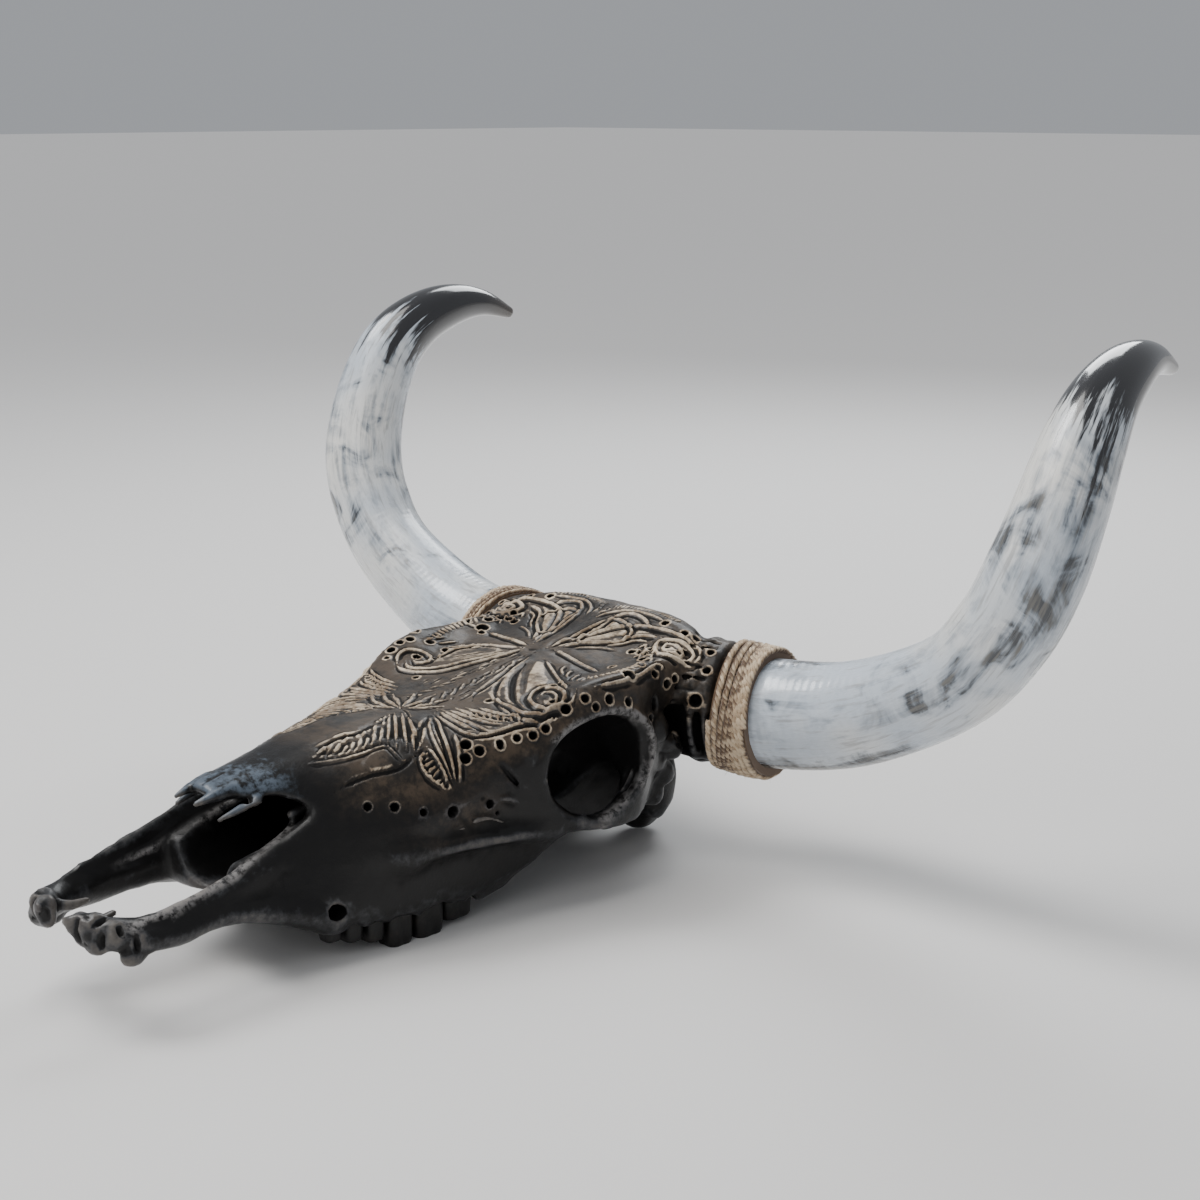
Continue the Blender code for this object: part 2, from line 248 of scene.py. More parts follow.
class Maker(Graph):
    # A Geometry Nodes tree with named inputs, used on one object and then made a plain mesh
    def __init__(self, name, inputs):
        super().__init__(bpy.data.node_groups.new(name, "GeometryNodeTree"))
        face = self.tree.interface
        face.new_socket("Geometry", in_out="OUTPUT", socket_type="NodeSocketGeometry")
        face.new_socket("Geometry", in_out="INPUT", socket_type="NodeSocketGeometry")
        self.keys = {}
        for label, value in inputs.items():
            kind = {int: "NodeSocketInt", float: "NodeSocketFloat"}.get(type(value), "NodeSocketMaterial")
            self.keys[label] = face.new_socket(label, in_out="INPUT", socket_type=kind).identifier
        self.values = inputs
        entry = self.tree.nodes.new("NodeGroupInput")
        self.given = {socket.name: Wire(self, socket) for socket in entry.outputs if socket.name}

    def store(self, geometry, name, value, kind="FLOAT"):
        return self.node("GeometryNodeStoreNamedAttribute", {"data_type": kind},
                         {"Geometry": geometry, "Name": name, "Value": value})

    def stored(self, name, kind="FLOAT"):
        return self.node("GeometryNodeInputNamedAttribute", {"data_type": kind}, {"Name": name})

    def ring(self, sides, radius):
        # A profile that keeps each point's place, so that a pattern can follow it round
        circle = self.node("GeometryNodeCurvePrimitiveCircle", {}, {"Resolution": sides, "Radius": radius})
        return self.store(circle, "around", self.node("GeometryNodeInputPosition"), "FLOAT_VECTOR")

    def sweep(self, path, profile, **more):
        sockets = {"Curve": path, "Profile Curve": profile, "Fill Caps": True, **more}
        return self.node("GeometryNodeCurveToMesh", {}, sockets)

    def finish(self, geometry, source, name):
        # Realizes, gives the material, and returns the evaluated result as an object with a plain mesh
        realized = self.node("GeometryNodeRealizeInstances", {}, {0: geometry})
        painted = self.node("GeometryNodeSetMaterial", {}, {0: realized, "Material": self.given["Material"]})
        last = self.tree.nodes.new("NodeGroupOutput")
        self.tree.links.new(painted.socket, last.inputs[0])
        modifier = source.modifiers.new(name, "NODES")
        modifier.node_group = self.tree
        for label, value in self.values.items():
            modifier[self.keys[label]] = value
        graph = bpy.context.evaluated_depsgraph_get()
        mesh = bpy.data.meshes.new_from_object(source.evaluated_get(graph))
        mesh.name = name
        source.modifiers.remove(modifier)
        bpy.data.objects.remove(source)
        made = bpy.data.objects.new(name, mesh)
        bpy.context.scene.collection.objects.link(made)
        return made


# Lines, distances and mesh rows that several pieces share

def vertexRows(mesh, what="co"):
    rows = np.empty(len(mesh.vertices) * 3, np.float32)
    mesh.vertices.foreach_get(what, rows)
    return rows.reshape(-1, 3)


def trianglesOf(mesh):
    mesh.calc_loop_triangles()
    rows = np.empty(len(mesh.loop_triangles) * 3, np.int32)
    mesh.loop_triangles.foreach_get("vertices", rows)
    return rows.reshape(-1, 3)


def splineAt(knots, places):
    # A Catmull-Rom curve through the knots, read at places counted in knots
    knots = np.array(knots, float)
    ends = np.vstack([2 * knots[0] - knots[1], knots, 2 * knots[-1] - knots[-2]])
    i = np.clip(np.array(places).astype(int), 0, len(knots) - 2)
    t = (places - i)[:, None]
    a, b, c, d = ends[i], ends[i + 1], ends[i + 2], ends[i + 3]
    square, cube = 2 * a - 5 * b + 4 * c - d, 3 * b - a - 3 * c + d
    return 0.5 * (2 * b + (c - a) * t + square * t ** 2 + cube * t ** 3)


def smoothLine(points, spacing=1.5):
    knots = np.array(points, float)
    spans = np.linalg.norm(np.diff(knots[:, :min(3, knots.shape[1])], axis=0), axis=1)
    places = [i + np.arange(n) / n for i, n in enumerate(np.maximum(2, (spans / spacing).astype(int)))]
    return splineAt(knots, np.concatenate(places + [[len(knots) - 1.0]]))


def smoothStep(value, low, high):
    t = np.clip((value - low) / (high - low), 0, 1)
    return t * t * (3 - 2 * t)


def ellipsoid(centre, radii):
    radii = np.array(radii, float)

    def shape(x, y, z):
        u, v, w = (x - centre[0]) / radii[0], (y - centre[1]) / radii[1], (z - centre[2]) / radii[2]
        out = np.sqrt(u * u + v * v + w * w) + 1e-6
        slope = np.sqrt((u / radii[0]) ** 2 + (v / radii[1]) ** 2 + (w / radii[2]) ** 2) + 1e-6
        return out * (out - 1) / slope
    low, high = np.array(centre) - radii, np.array(centre) + radii
    return shape, low, high


def rod(points):
    # A round bar along points (x, y, z, radius)
    line = smoothLine(points, 4.0)

    def shape(x, y, z):
        nearest = None
        for a, b in zip(line[:-1], line[1:]):
            run = b[:3] - a[:3]
            t = ((x - a[0]) * run[0] + (y - a[1]) * run[1] + (z - a[2]) * run[2]) / (run @ run)
            t = np.clip(t, 0, 1)
            gap = np.sqrt((x - a[0] - run[0] * t) ** 2 + (y - a[1] - run[1] * t) ** 2
                          + (z - a[2] - run[2] * t) ** 2) - (a[3] + (b[3] - a[3]) * t)
            nearest = gap if nearest is None else np.minimum(nearest, gap)
        return nearest
    return shape, (line[:, :3] - line[:, 3:]).min(0), (line[:, :3] + line[:, 3:]).max(0)


# Horns: a tapered sweep along the fitted axis, polished, with a black tip

hornAxis = [   # x, y, z, radius in mm; the first two lie inside the skull
    (72, 226, 114, 38), (108, 242, 110.5, 38.5), (140.5, 252.5, 108, 38.8), (205, 257.5, 121, 36.4),
    (277, 260.5, 157, 32.8), (312, 264, 197, 32.6), (328.5, 271, 236, 32.3), (335, 286.5, 277, 30),
    (335, 307, 311.5, 27.4), (332, 334, 337.5, 23.5), (328.5, 368.5, 353.5, 18.8), (325, 404, 357, 12),
    (322.5, 440, 347.5, 4.6)]
# mm, how much higher the right horn's points are
rightRise = [0, 0, 0, 1, 1.5, 0.5, 0, 2, 4, 1, -3, -6, -9]
horn = {
    "root": 1.26,            # places along the axis, counted in its points
    "tip": 12.0,
    "round tip": 4.0,        # mm
    "stations": 140,         # points of the smooth axis
    "Rings": 260,
    "Sides": 72,
    "Dents": 0.0004,         # m, how far the surface wanders
    "Growth rings": 0.00022,
    "white": ((0.54, 0.60, 0.67), (0.80, 0.79, 0.75)),
    "grey": (0.24, 0.28, 0.33),
    "lines": (0.28, 0.28, 0.28),
    # also the colour of the painted shade on the horn's underside
    "stain": ((0.018, 0.017, 0.016), (0.13, 0.12, 0.10)),
    "black": ((0.012, 0.012, 0.014), (0.06, 0.048, 0.04)),
}


def axisKnots(side):
    rises = rightRise if side < 0 else [0] * len(hornAxis)
    return [(side * x, y, z + rise, radius) for (x, y, z, radius), rise in zip(hornAxis, rises)]


def curveObject(name, points):
    # An open curve in metres through rows (x, y, z, radius)
    data = bpy.data.curves.new(name, "CURVE")
    data.dimensions = "3D"
    spline = data.splines.new("POLY")
    spline.points.add(len(points) - 1)
    for point, (x, y, z, radius) in zip(spline.points, points):
        point.co, point.radius = (x, y, z, 1), radius
    made = bpy.data.objects.new(name, data)
    bpy.context.scene.collection.objects.link(made)
    return made


def hornFinish():
    f = Finish("polished horn", {"Roughness": 0.25, "IOR": 1.54, "Coat Roughness": 0.06})
    along = f.read("along")
    grain = f.read("grain", "Vector")
    streak = f.noise(1.0, 5.0, 0.6, grain, 0.4)
    fine = f.noise(4.2, 4.0, 0.6, grain, 0.2)
    cloud = f.noise(11.0, 3.0, 0.5)
    mottle = f.noise(28.0, 4.0, 0.6, twist=1.2)
    height = f.node("ShaderNodeSeparateXYZ", {}, {0: f.node("ShaderNodeNewGeometry", out="Normal")}, 2)
    white = f.mix(f.step(cloud, 0.35, 0.7), *horn["white"])
    greyed = f.mix(f.step(streak * 0.6 + mottle * 0.5, 0.50, 0.68), white, horn["grey"])
    lined = f.mix(f.step(fine, 0.50, 0.72) * 0.6, greyed, horn["lines"])
    # painted shade: the side that faces down is darkened, most near the root and broken by streaks; the
    # stain patches below are the horn's own
    undersideShade = f.step(0.12 - height + (streak - 0.5) * 1.6 - along * 1.5 + (mottle - 0.5) * 1.4, 0.35, 0.9)
    patch = f.step(streak + (mottle - 0.5) * 1.0, 0.60, 0.76)
    dark = f.most(undersideShade, patch * 0.85)
    stainedAndShaded = f.mix(dark, lined, f.mix(f.step(fine, 0.4, 0.65), *horn["stain"]))
    tip = f.step(along + (streak - 0.5) * 0.34 + (fine - 0.5) * 0.18, 0.705, 0.745)
    black = f.mix(f.step(along, 0.90, 1.0), *horn["black"])
    f.feed(colour=f.mix(tip, stainedAndShaded, black),
           roughness=0.20 + fine * 0.16 - tip * 0.12,
           coat=0.35 + tip * 0.5)
    f.bump(fine * 0.6 + streak * 0.4, 0.0004, 0.35)
    return f.material


def makeHorn(side, name, material):
    places = np.linspace(horn["root"], horn["tip"], horn["stations"])
    line = splineAt(axisKnots(side), places)
    length = np.concatenate([[0], np.cumsum(np.linalg.norm(np.diff(line[:, :3], axis=0), axis=1))])
    rest = np.clip((length[-1] - length) / horn["round tip"], 0.0, 1)
    line[:, 3] *= np.sqrt(np.clip(1 - (1 - rest) ** 2, 0.01, 1))
    line = toPart(line)
    g = Maker(name, {"Rings": horn["Rings"], "Sides": horn["Sides"], "Dents": horn["Dents"],
                     "Growth rings": horn["Growth rings"], "Material": material})
    even = g.node("GeometryNodeResampleCurve", {}, {"Curve": g.given["Geometry"], "Count": g.given["Rings"]})
    along = g.node("GeometryNodeSplineParameter")
    run = g.node("GeometryNodeSplineParameter", out="Length")
    kept = g.store(g.store(even, "along", along), "run", run)
    swept = g.sweep(kept, g.ring(g.given["Sides"], 1.0), Scale=g.node("GeometryNodeInputRadius"))
    runKept, around = g.stored("run"), g.stored("around", "FLOAT_VECTOR")
    # grain runs slowly along the horn and quickly round it, without a seam
    lengthwise = g.node("ShaderNodeCombineXYZ", {}, {2: runKept * 9.0 + 3.7 * side})
    grain = g.vector("ADD", g.vector("SCALE", around, 2.6), lengthwise)
    kept = g.store(swept, "grain", grain, "FLOAT_VECTOR")
    dents = g.node("ShaderNodeTexNoise", {}, {"Vector": grain, "Scale": 0.55, "Detail": 2.0})
    sway = g.node("ShaderNodeTexNoise", {}, {"Vector": grain, "Scale": 0.8})
    ridges = g.sine(runKept * 900.0 + sway * 18.0)
    rings = (ridges - 1.0) * g.given["Growth rings"] * (1 - g.stored("along")) ** 3.0
    lift = (dents - 1.0) * 2.0 * g.given["Dents"] + rings
    moved = g.node("GeometryNodeSetPosition", {}, {
        "Geometry": kept, "Offset": g.vector("SCALE", g.node("GeometryNodeInputNormal"), lift)})
    smooth = g.node("GeometryNodeSetShadeSmooth", {}, {0: moved})
    piece = g.finish(smooth, curveObject(name + "_axis", line), name)
    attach(piece, "root")
    return piece


hornMaterial = hornFinish()
for side, tag in sideNames:
    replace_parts(makeHorn(side, "polished_horn_" + tag, hornMaterial), "horn_" + tag)
report("horns")


# Rope: each joint of bone and horn is bound with turns of three-ply jute over an inner layer

rope = {
    "start": 0.935,          # places along the horn's axis
    "end": 1.945,
    "Turns": 9.0,
    "Steps": 1900,
    "Lift": 0.0056,          # m, from the horn's surface to the twine's middle
    "Ply radius": 0.00128,
    "Ply offset": 0.00112,
    "Twists": 235.0,
    "Wander": 0.0011,
    "Bulge": 0.0006,
    "Fibres": 9000.0,        # a square metre
    "Seed": 3,
    "stations": 40,          # points of the smooth axis
    "ply sides": 7,
    "fibre radius": 0.00009,
    "fibre length": 0.0042,
    "fibre sizes": (0.4, 1.4),
    "fibre seed": 11,
    "inner sides": 64,
    "inner gap": 0.0007,     # m, from the twine's middle down to the inner layer
    "fibre": ((0.24, 0.155, 0.085), (0.62, 0.46, 0.30)),
    "pale": (0.66, 0.52, 0.36),
    "shade": (0.10, 0.055, 0.028),
}


def ropeFinish():
    f = Finish("jute rope", {"Roughness": 0.9, "Sheen Weight": 0.25, "Sheen Roughness": 0.6,
                             "Specular IOR Level": 0.25})
    ply = f.read("ply")
    crest = f.read("crest")
    fibre = f.noise(1.0, 4.0, 0.65, f.read("strand", "Vector"))
    blotch = f.noise(60.0, 3.0, 0.5)
    base = f.mix(f.step(fibre, 0.3, 0.7), *rope["fibre"])
    toned = f.mix(f.step(blotch + (ply - 0.5) * 0.3, 0.35, 0.7), base, rope["pale"])
    shaded = f.mix(f.step(crest, -1.0, 0.5), rope["shade"], toned)
    f.feed(colour=shaded, roughness=0.8 + fibre * 0.2)
    f.bump(fibre, 0.0006, 0.9)
    return f.material


def makeRope(side, name, material):
    places = np.linspace(rope["start"], rope["end"], rope["stations"])
    line = toPart(splineAt(axisKnots(side), places))
    labels = ("Turns", "Steps", "Lift", "Ply radius", "Ply offset", "Twists", "Wander", "Bulge", "Fibres",
              "Seed")
    g = Maker(name, {**{label: rope[label] for label in labels}, "Material": material})
    given = g.given
    bare = g.node("GeometryNodeCurvePrimitiveLine", {}, {"End": (0, 0, 1)})
    steps = g.node("GeometryNodeResampleCurve", {}, {"Curve": bare, "Count": given["Steps"]})
    f = g.node("GeometryNodeSplineParameter")
    turn = f * given["Turns"] * math.tau
    spot = g.node("ShaderNodeCombineXYZ", {}, {
        0: g.cosine(turn) * 2.0, 1: g.sine(turn) * 2.0, 2: f * given["Turns"] * 0.9 + side * 5.0})
    drift = g.node("ShaderNodeTexNoise", {}, {"Vector": spot, "Scale": 1.4, "Detail": 2.0}) - 0.5
    heave = g.node("ShaderNodeTexNoise", {}, {"Vector": spot, "Scale": 2.3, "Detail": 2.0}, "Color")
    heave = g.node("ShaderNodeSeparateXYZ", {}, {0: heave}) - 0.5
    axis = {"Curves": given["Geometry"], "Value": g.node("GeometryNodeInputRadius"), "Factor": f}
    sample = {part: g.node("GeometryNodeSampleCurve", {}, axis, part)
              for part in ("Value", "Position", "Tangent", "Normal")}
    across = g.vector("CROSS_PRODUCT", sample["Tangent"], sample["Normal"])
    outward = g.vector("ADD", g.vector("SCALE", sample["Normal"], g.cosine(turn)),
                       g.vector("SCALE", across, g.sine(turn)))
    reach = sample["Value"] + given["Lift"] + given["Bulge"] * f * (1 - f) * 4.0 + heave * given["Wander"]
    centre = g.vector("ADD", sample["Position"], g.vector("SCALE", outward, reach))
    centre = g.vector("ADD", centre, g.vector("SCALE", sample["Tangent"], drift * given["Wander"] * 2.5))
    plies = g.node("GeometryNodeJoinGeometry")
    joined = plies.socket.node
    for k in range(3):
        twist = f * given["Twists"] * math.tau + (drift * 6.0 + k * math.tau / 3)
        lift = g.cosine(twist)
        shift = g.vector("ADD", g.vector("SCALE", outward, lift * given["Ply offset"]),
                         g.vector("SCALE", sample["Tangent"], g.sine(twist) * given["Ply offset"]))
        placed = g.node("GeometryNodeSetPosition", {}, {
            "Geometry": steps, "Position": g.vector("ADD", centre, shift)})
        for label, value in (("crest", lift), ("ply", k / 2.0), ("run", f * given["Turns"])):
            placed = g.store(placed, label, value)
        tube = g.sweep(placed, g.ring(rope["ply sides"], given["Ply radius"]))
        g.tree.links.new(tube.socket, joined.inputs[0])
    points = g.node("GeometryNodeDistributePointsOnFaces", {}, {
        "Mesh": plies, "Density": given["Fibres"], "Seed": given["Seed"]})
    chance = g.node("FunctionNodeRandomValue", {"data_type": "FLOAT_VECTOR"},
                    {0: (-1, -1, -1), 1: (1, 1, 1), "Seed": given["Seed"]})
    lean = g.vector("ADD", g.vector("SCALE", g.node("GeometryNodeInputNormal"), 0.7), chance)
    turned = g.node("FunctionNodeAlignRotationToVector", {"axis": "Z"}, {"Vector": lean})
    smallest, largest = rope["fibre sizes"]
    size = g.node("FunctionNodeRandomValue", {"data_type": "FLOAT"},
                  {2: smallest, 3: largest, "Seed": rope["fibre seed"]}, 1)
    fibre = g.node("GeometryNodeMeshCone", {}, {
        "Vertices": 3, "Radius Bottom": rope["fibre radius"], "Depth": rope["fibre length"]})
    fibres = g.node("GeometryNodeInstanceOnPoints", {}, {
        "Points": points, "Instance": fibre, "Rotation": turned, "Scale": size})
    fibres = g.node("GeometryNodeRealizeInstances", {}, {0: fibres})
    # under the twine an inner layer closes the gaps; its crest of -0.8 gives it mostly the painted shade
    # colour
    inner = g.node("GeometryNodeCurvePrimitiveCircle", {},
                   {"Resolution": rope["inner sides"], "Radius": 1.0})
    girth = g.node("GeometryNodeInputRadius") + given["Lift"] - rope["inner gap"]
    sleeve = g.store(g.sweep(given["Geometry"], inner, Scale=girth), "crest", -0.8)
    whole = g.node("GeometryNodeJoinGeometry")
    for part in (plies, fibres, sleeve):
        g.tree.links.new(part.socket, whole.socket.node.inputs[0])
    run = g.node("ShaderNodeCombineXYZ", {}, {2: g.stored("run") * 40.0})
    strand = g.vector("ADD", g.vector("SCALE", g.stored("around", "FLOAT_VECTOR"), 2200.0), run)
    kept = g.store(whole, "strand", strand, "FLOAT_VECTOR")
    smooth = g.node("GeometryNodeSetShadeSmooth", {}, {0: kept})
    piece = g.finish(smooth, curveObject(name + "_axis", line), name)
    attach(piece, "root")
    return piece


ropeMaterial = ropeFinish()
for side, tag in sideNames:
    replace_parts(makeRope(side, "jute_wrap_" + tag, ropeMaterial), "rope_wrap_" + tag)
report("rope")


# The skull: the plain one of the frame, carved as clay, drilled, and painted by maps that its finish reads

sculpt = {
    "coarse cell": 2.5,      # mm, the grid that the plain skull is first read on
    "coarse band": 5,        # cells on each side of the surface
    "facet smoothing": 2,    # rounds
    # runs of (end, cell) in mm after each start: finer over the carved roof
    "x": (-126.0, (126.0, 1.0)),
    "y": (-250.0, (-88.0, 1.6), (236.0, 1.0), (270.0, 1.5)),
    "z": (-4.0, (72.0, 1.9), (98.0, 1.3), (178.0, 1.0)),
    "quick cells": 2.4,
    "bone noise": 0.4,       # mm
    "noise": ((17.0, 1.0), (7.5, 0.6), (3.6, 0.35)),   # spacing in mm, share
    "seed": 7,
    "relief": 1.35,          # times the drawing's own height
    "collar": (94.0, 236.0, 112.0),      # mm, on the horn's axis by its root
    "collar facing": (0.93, 0.36, -0.03),
    "hole depth": 9.0,       # mm
    "rim height": 0.7,       # mm, on the roof; less on the sides
    "triangles": 196000,
    "roof first": 0.00001,   # how strongly thinning spares the roof
    "sky rays": 22,
    "sky reach": 0.06,       # m
    "paint": ((0.0030, 0.0029, 0.0033), (0.0080, 0.0074, 0.0070)),
    "brown": ((0.0125, 0.0102, 0.0084), (0.060, 0.043, 0.029)),
    "stain": (0.060, 0.042, 0.029),
    "glint": (0.085, 0.09, 0.10),
    # painted highlight on the rims of the orbit and the ridge of the muzzle
    "edge highlight": (0.25, 0.24, 0.235),
    # painted sheen on the top of the nose
    "painted sheen": (0.085, 0.108, 0.138),
    "cream": ((0.24, 0.165, 0.10), (0.66, 0.55, 0.41)),
    # near-black of the painted shade in the holes, the orbit and closed-in places, also used in creases and
    # grooves
    "hollow": (0.0022, 0.0020, 0.0021),
}


def axisOf(start, *runs):
    marks = [start]
    for end, cell in runs:
        steps = math.ceil((end - marks[-1]) / (cell * 1))
        marks += list(np.linspace(marks[-1], end, steps + 1)[1:])
    return marks


# The skull's clay: signed distances in mm on a grid that is finest over the roof, negative inside the bone

cellCorners = [np.array([n & 1, n >> 1 & 1, n >> 2 & 1]) for n in range(8)]


class Clay:
    def __init__(self, axes):
        self.axes = [np.asarray(axis, np.float32) for axis in axes]
        self.count = np.array([len(axis) for axis in axes])
        self.field = skullFromFrame(self.axes)

    def window(self, low, high):
        cut = tuple(slice(*np.searchsorted(axis, (a, b))) for axis, a, b in zip(self.axes, low, high))
        x, y, z = (axis[part] for axis, part in zip(self.axes, cut))
        return cut, x[:, None, None], y[None, :, None], z[None, None, :]

    def blend(self, shape, low, high, soft, remove, sides=both):
        # Joins the shape to the bone, or removes it, with a fillet about soft mm wide
        for side in sides:
            a, b = np.array(low, float) - soft - 1, np.array(high, float) + soft + 1
            if side < 0:
                a[0], b[0] = -b[0], -a[0]
            cut, x, y, z = self.window(a, b)
            bone = self.field[cut]
            if not bone.size:
                continue
            tool = shape(side * x, y, z).astype(np.float32)
            bone = -bone if remove else bone
            gap = np.clip(soft - np.abs(bone - tool), 0, None) / soft
            made = np.minimum(bone, tool) - gap * gap * soft / 4
            self.field[cut] = -made if remove else made

    def add(self, made, soft=3.0, sides=both):
        self.blend(*made, soft, False, sides)

    def remove(self, made, soft=1.0, sides=both):
        self.blend(*made, soft, True, sides)

    def places(self, counts):
        # Turns places counted in cells into mm
        columns = [np.interp(counts[:, k], np.arange(self.count[k]), self.axes[k]) for k in range(3)]
        return np.stack(columns, 1)

    def read(self, field, points):
        # The field's value at each point, straight-line between the eight cells round it
        at = np.stack([np.interp(points[:, k], self.axes[k], np.arange(self.count[k])) for k in range(3)], 1)
        at = np.clip(at, 0, self.count - 1.001)
        base = at.astype(int)
        part = (at - base).astype(np.float32)
        out = 0
        for corner in cellCorners:
            i, j, k = (base + corner).T
            out = out + field[i, j, k] * np.where(corner, part, 1 - part).prod(1)
        return out


def softened(field, times):
    for _ in range(times):
        for axis in range(3):
            wide = np.concatenate([field.take([0], axis), field, field.take([-1], axis)], axis)
            size = field.shape[axis]
            field = (wide.take(range(size), axis) + 2 * field + wide.take(range(2, size + 2), axis)) / 4
    return field


def skullFromFrame(axes):
    # The frame's plain skull as distances, with its facets smoothed away
    cell = sculpt["coarse cell"]
    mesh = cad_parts["skull"].data
    points = vertexRows(mesh) / mm
    points[:, 1] -= drawnY
    grid = vdb.FloatGrid.createLevelSetFromPolygons(
        points, triangles=trianglesOf(mesh),
        transform=vdb.createLinearTransform(voxelSize=cell), halfWidth=sculpt["coarse band"])
    first = np.array([math.floor(axis[0] / cell) - 1 for axis in axes])
    last = np.array([math.ceil(axis[-1] / cell) + 2 for axis in axes])
    coarse = np.zeros(tuple(last - first), np.float32)
    grid.copyToArray(coarse, ijk=tuple(int(v) for v in first))
    field = softened(coarse, sculpt["facet smoothing"])
    for k, axis in enumerate(axes):
        at = np.clip(axis / cell - first[k], 0, field.shape[k] - 1.001)
        base = at.astype(int)
        part = (at - base).astype(np.float32).reshape([-1 if k == other else 1 for other in range(3)])
        field = field.take(base, k) * (1 - part) + field.take(base + 1, k) * part
    return field


# The carving is drawn flat over the roof, as seen from above

class Drawing:
    # Height in mm and paleness from 0 to 1, on an even grid over (x, y)
    cell = 0.5

    def __init__(self, low, high):
        self.low = np.array(low, float)
        self.x = np.arange(low[0], high[0], self.cell)
        self.y = np.arange(low[1], high[1], self.cell)
        self.height = np.zeros((len(self.x), len(self.y)), np.float32)
        self.pale = np.zeros_like(self.height)

    def window(self, line, reach):
        first = np.clip(((line.min(0) - reach - self.low) / self.cell).astype(int), 0, None)
        last = np.clip(((line.max(0) + reach - self.low) / self.cell).astype(int), 1, None)
        cut = slice(first[0], last[0]), slice(first[1], last[1])
        return cut, self.x[cut[0]][:, None], self.y[cut[1]][None, :]

    def distances(self, line, reach):
        # Every spot's distance to the line, and how far along the line it lies
        cut, x, y = self.window(line, reach)
        best = np.full(self.height[cut].shape, 1e6)
        share = np.zeros_like(best)
        for i, (a, b) in enumerate(zip(line[:-1], line[1:])):
            run = b - a
            t = np.clip(((x - a[0]) * run[0] + (y - a[1]) * run[1]) / (run @ run + 1e-9), 0, 1)
            gap = np.hypot(x - a[0] - run[0] * t, y - a[1] - run[1] * t)
            closer = gap < best
            best = np.where(closer, gap, best)
            share = np.where(closer, (i + t) / (len(line) - 1), share)
        return cut, best, share

    def stroke(self, points, width=1.1, height=0.9, dig=0.7, pale=0.8, taper=0.15, sides=both):
        # A raised line between two trenches; a height below zero makes a groove with raised lips
        for side in sides:
            line = smoothLine([(side * x, y) for x, y in points], 3.0)
            cut, gap, share = self.distances(line, 5 * width)
            ends = np.clip(np.minimum(share, 1 - share) / taper, 0.35, 1) if taper else 1.0
            wide = width * ends
            body = np.exp(-(gap / wide) ** 2)
            flank = np.exp(-((gap - 2.1 * wide) / wide) ** 2)
            self.height[cut] += (height * body - dig * flank) * ends
            if height > 0:
                self.pale[cut] = np.maximum(self.pale[cut], pale * body * ends)
                self.pale[cut] -= 0.5 * flank * ends * (1 - body)
            else:
                self.pale[cut] = np.maximum(self.pale[cut], pale * flank * ends) - 1.2 * body * ends

    def groove(self, points, width=1.0, depth=1.2, lip=0.35, pale=0.5, taper=0.2, sides=both):
        self.stroke(points, width, -depth, -lip, pale, taper, sides)

    def fill(self, points, height=0.5, pale=0.7, edge=2.0, sides=both):
        # A low cushion inside the outline
        for side in sides:
            corners = smoothLine([(side * x, y) for x, y in [*points, points[0]]], 3.0)
            cut, gap, _ = self.distances(corners, edge)
            x, y = self.x[cut[0]][:, None], self.y[cut[1]][None, :]
            inside = np.zeros(gap.shape, bool)
            for a, b in zip(corners[:-1], corners[1:]):
                if a[1] != b[1]:
                    crosses = (a[1] > y) != (b[1] > y)
                    inside ^= crosses & (x < a[0] + (b[0] - a[0]) * (y - a[1]) / (b[1] - a[1]))
            share = smoothStep(np.where(inside, gap, -gap), 0, edge)
            self.height[cut] += height * share
            self.pale[cut] = np.maximum(self.pale[cut], pale * share)

    def ribs(self, first, second, count, width=0.8, height=0.8, dig=0.6, pale=0.7, sides=both):
        # Short raised lines that join two edges
        a, b = smoothLine(first, 1.0), smoothLine(second, 1.0)
        for share in np.linspace(0, 1, count):
            p, q = a[int(share * (len(a) - 1))], b[int(share * (len(b) - 1))]
            self.stroke([tuple(p), tuple(q)], width, height, dig, pale, 0.3, sides)

    def read(self, values, x, y):
        i = np.clip((x - self.low[0]) / self.cell, 0, len(self.x) - 1.001)
        j = np.clip((y - self.low[1]) / self.cell, 0, len(self.y) - 1.001)
        a, b = i.astype(int), j.astype(int)
        u, v = i - a, j - b
        return ((values[a, b] * (1 - u) + values[a + 1, b] * u) * (1 - v)
                + (values[a, b + 1] * (1 - u) + values[a + 1, b + 1] * u) * v)


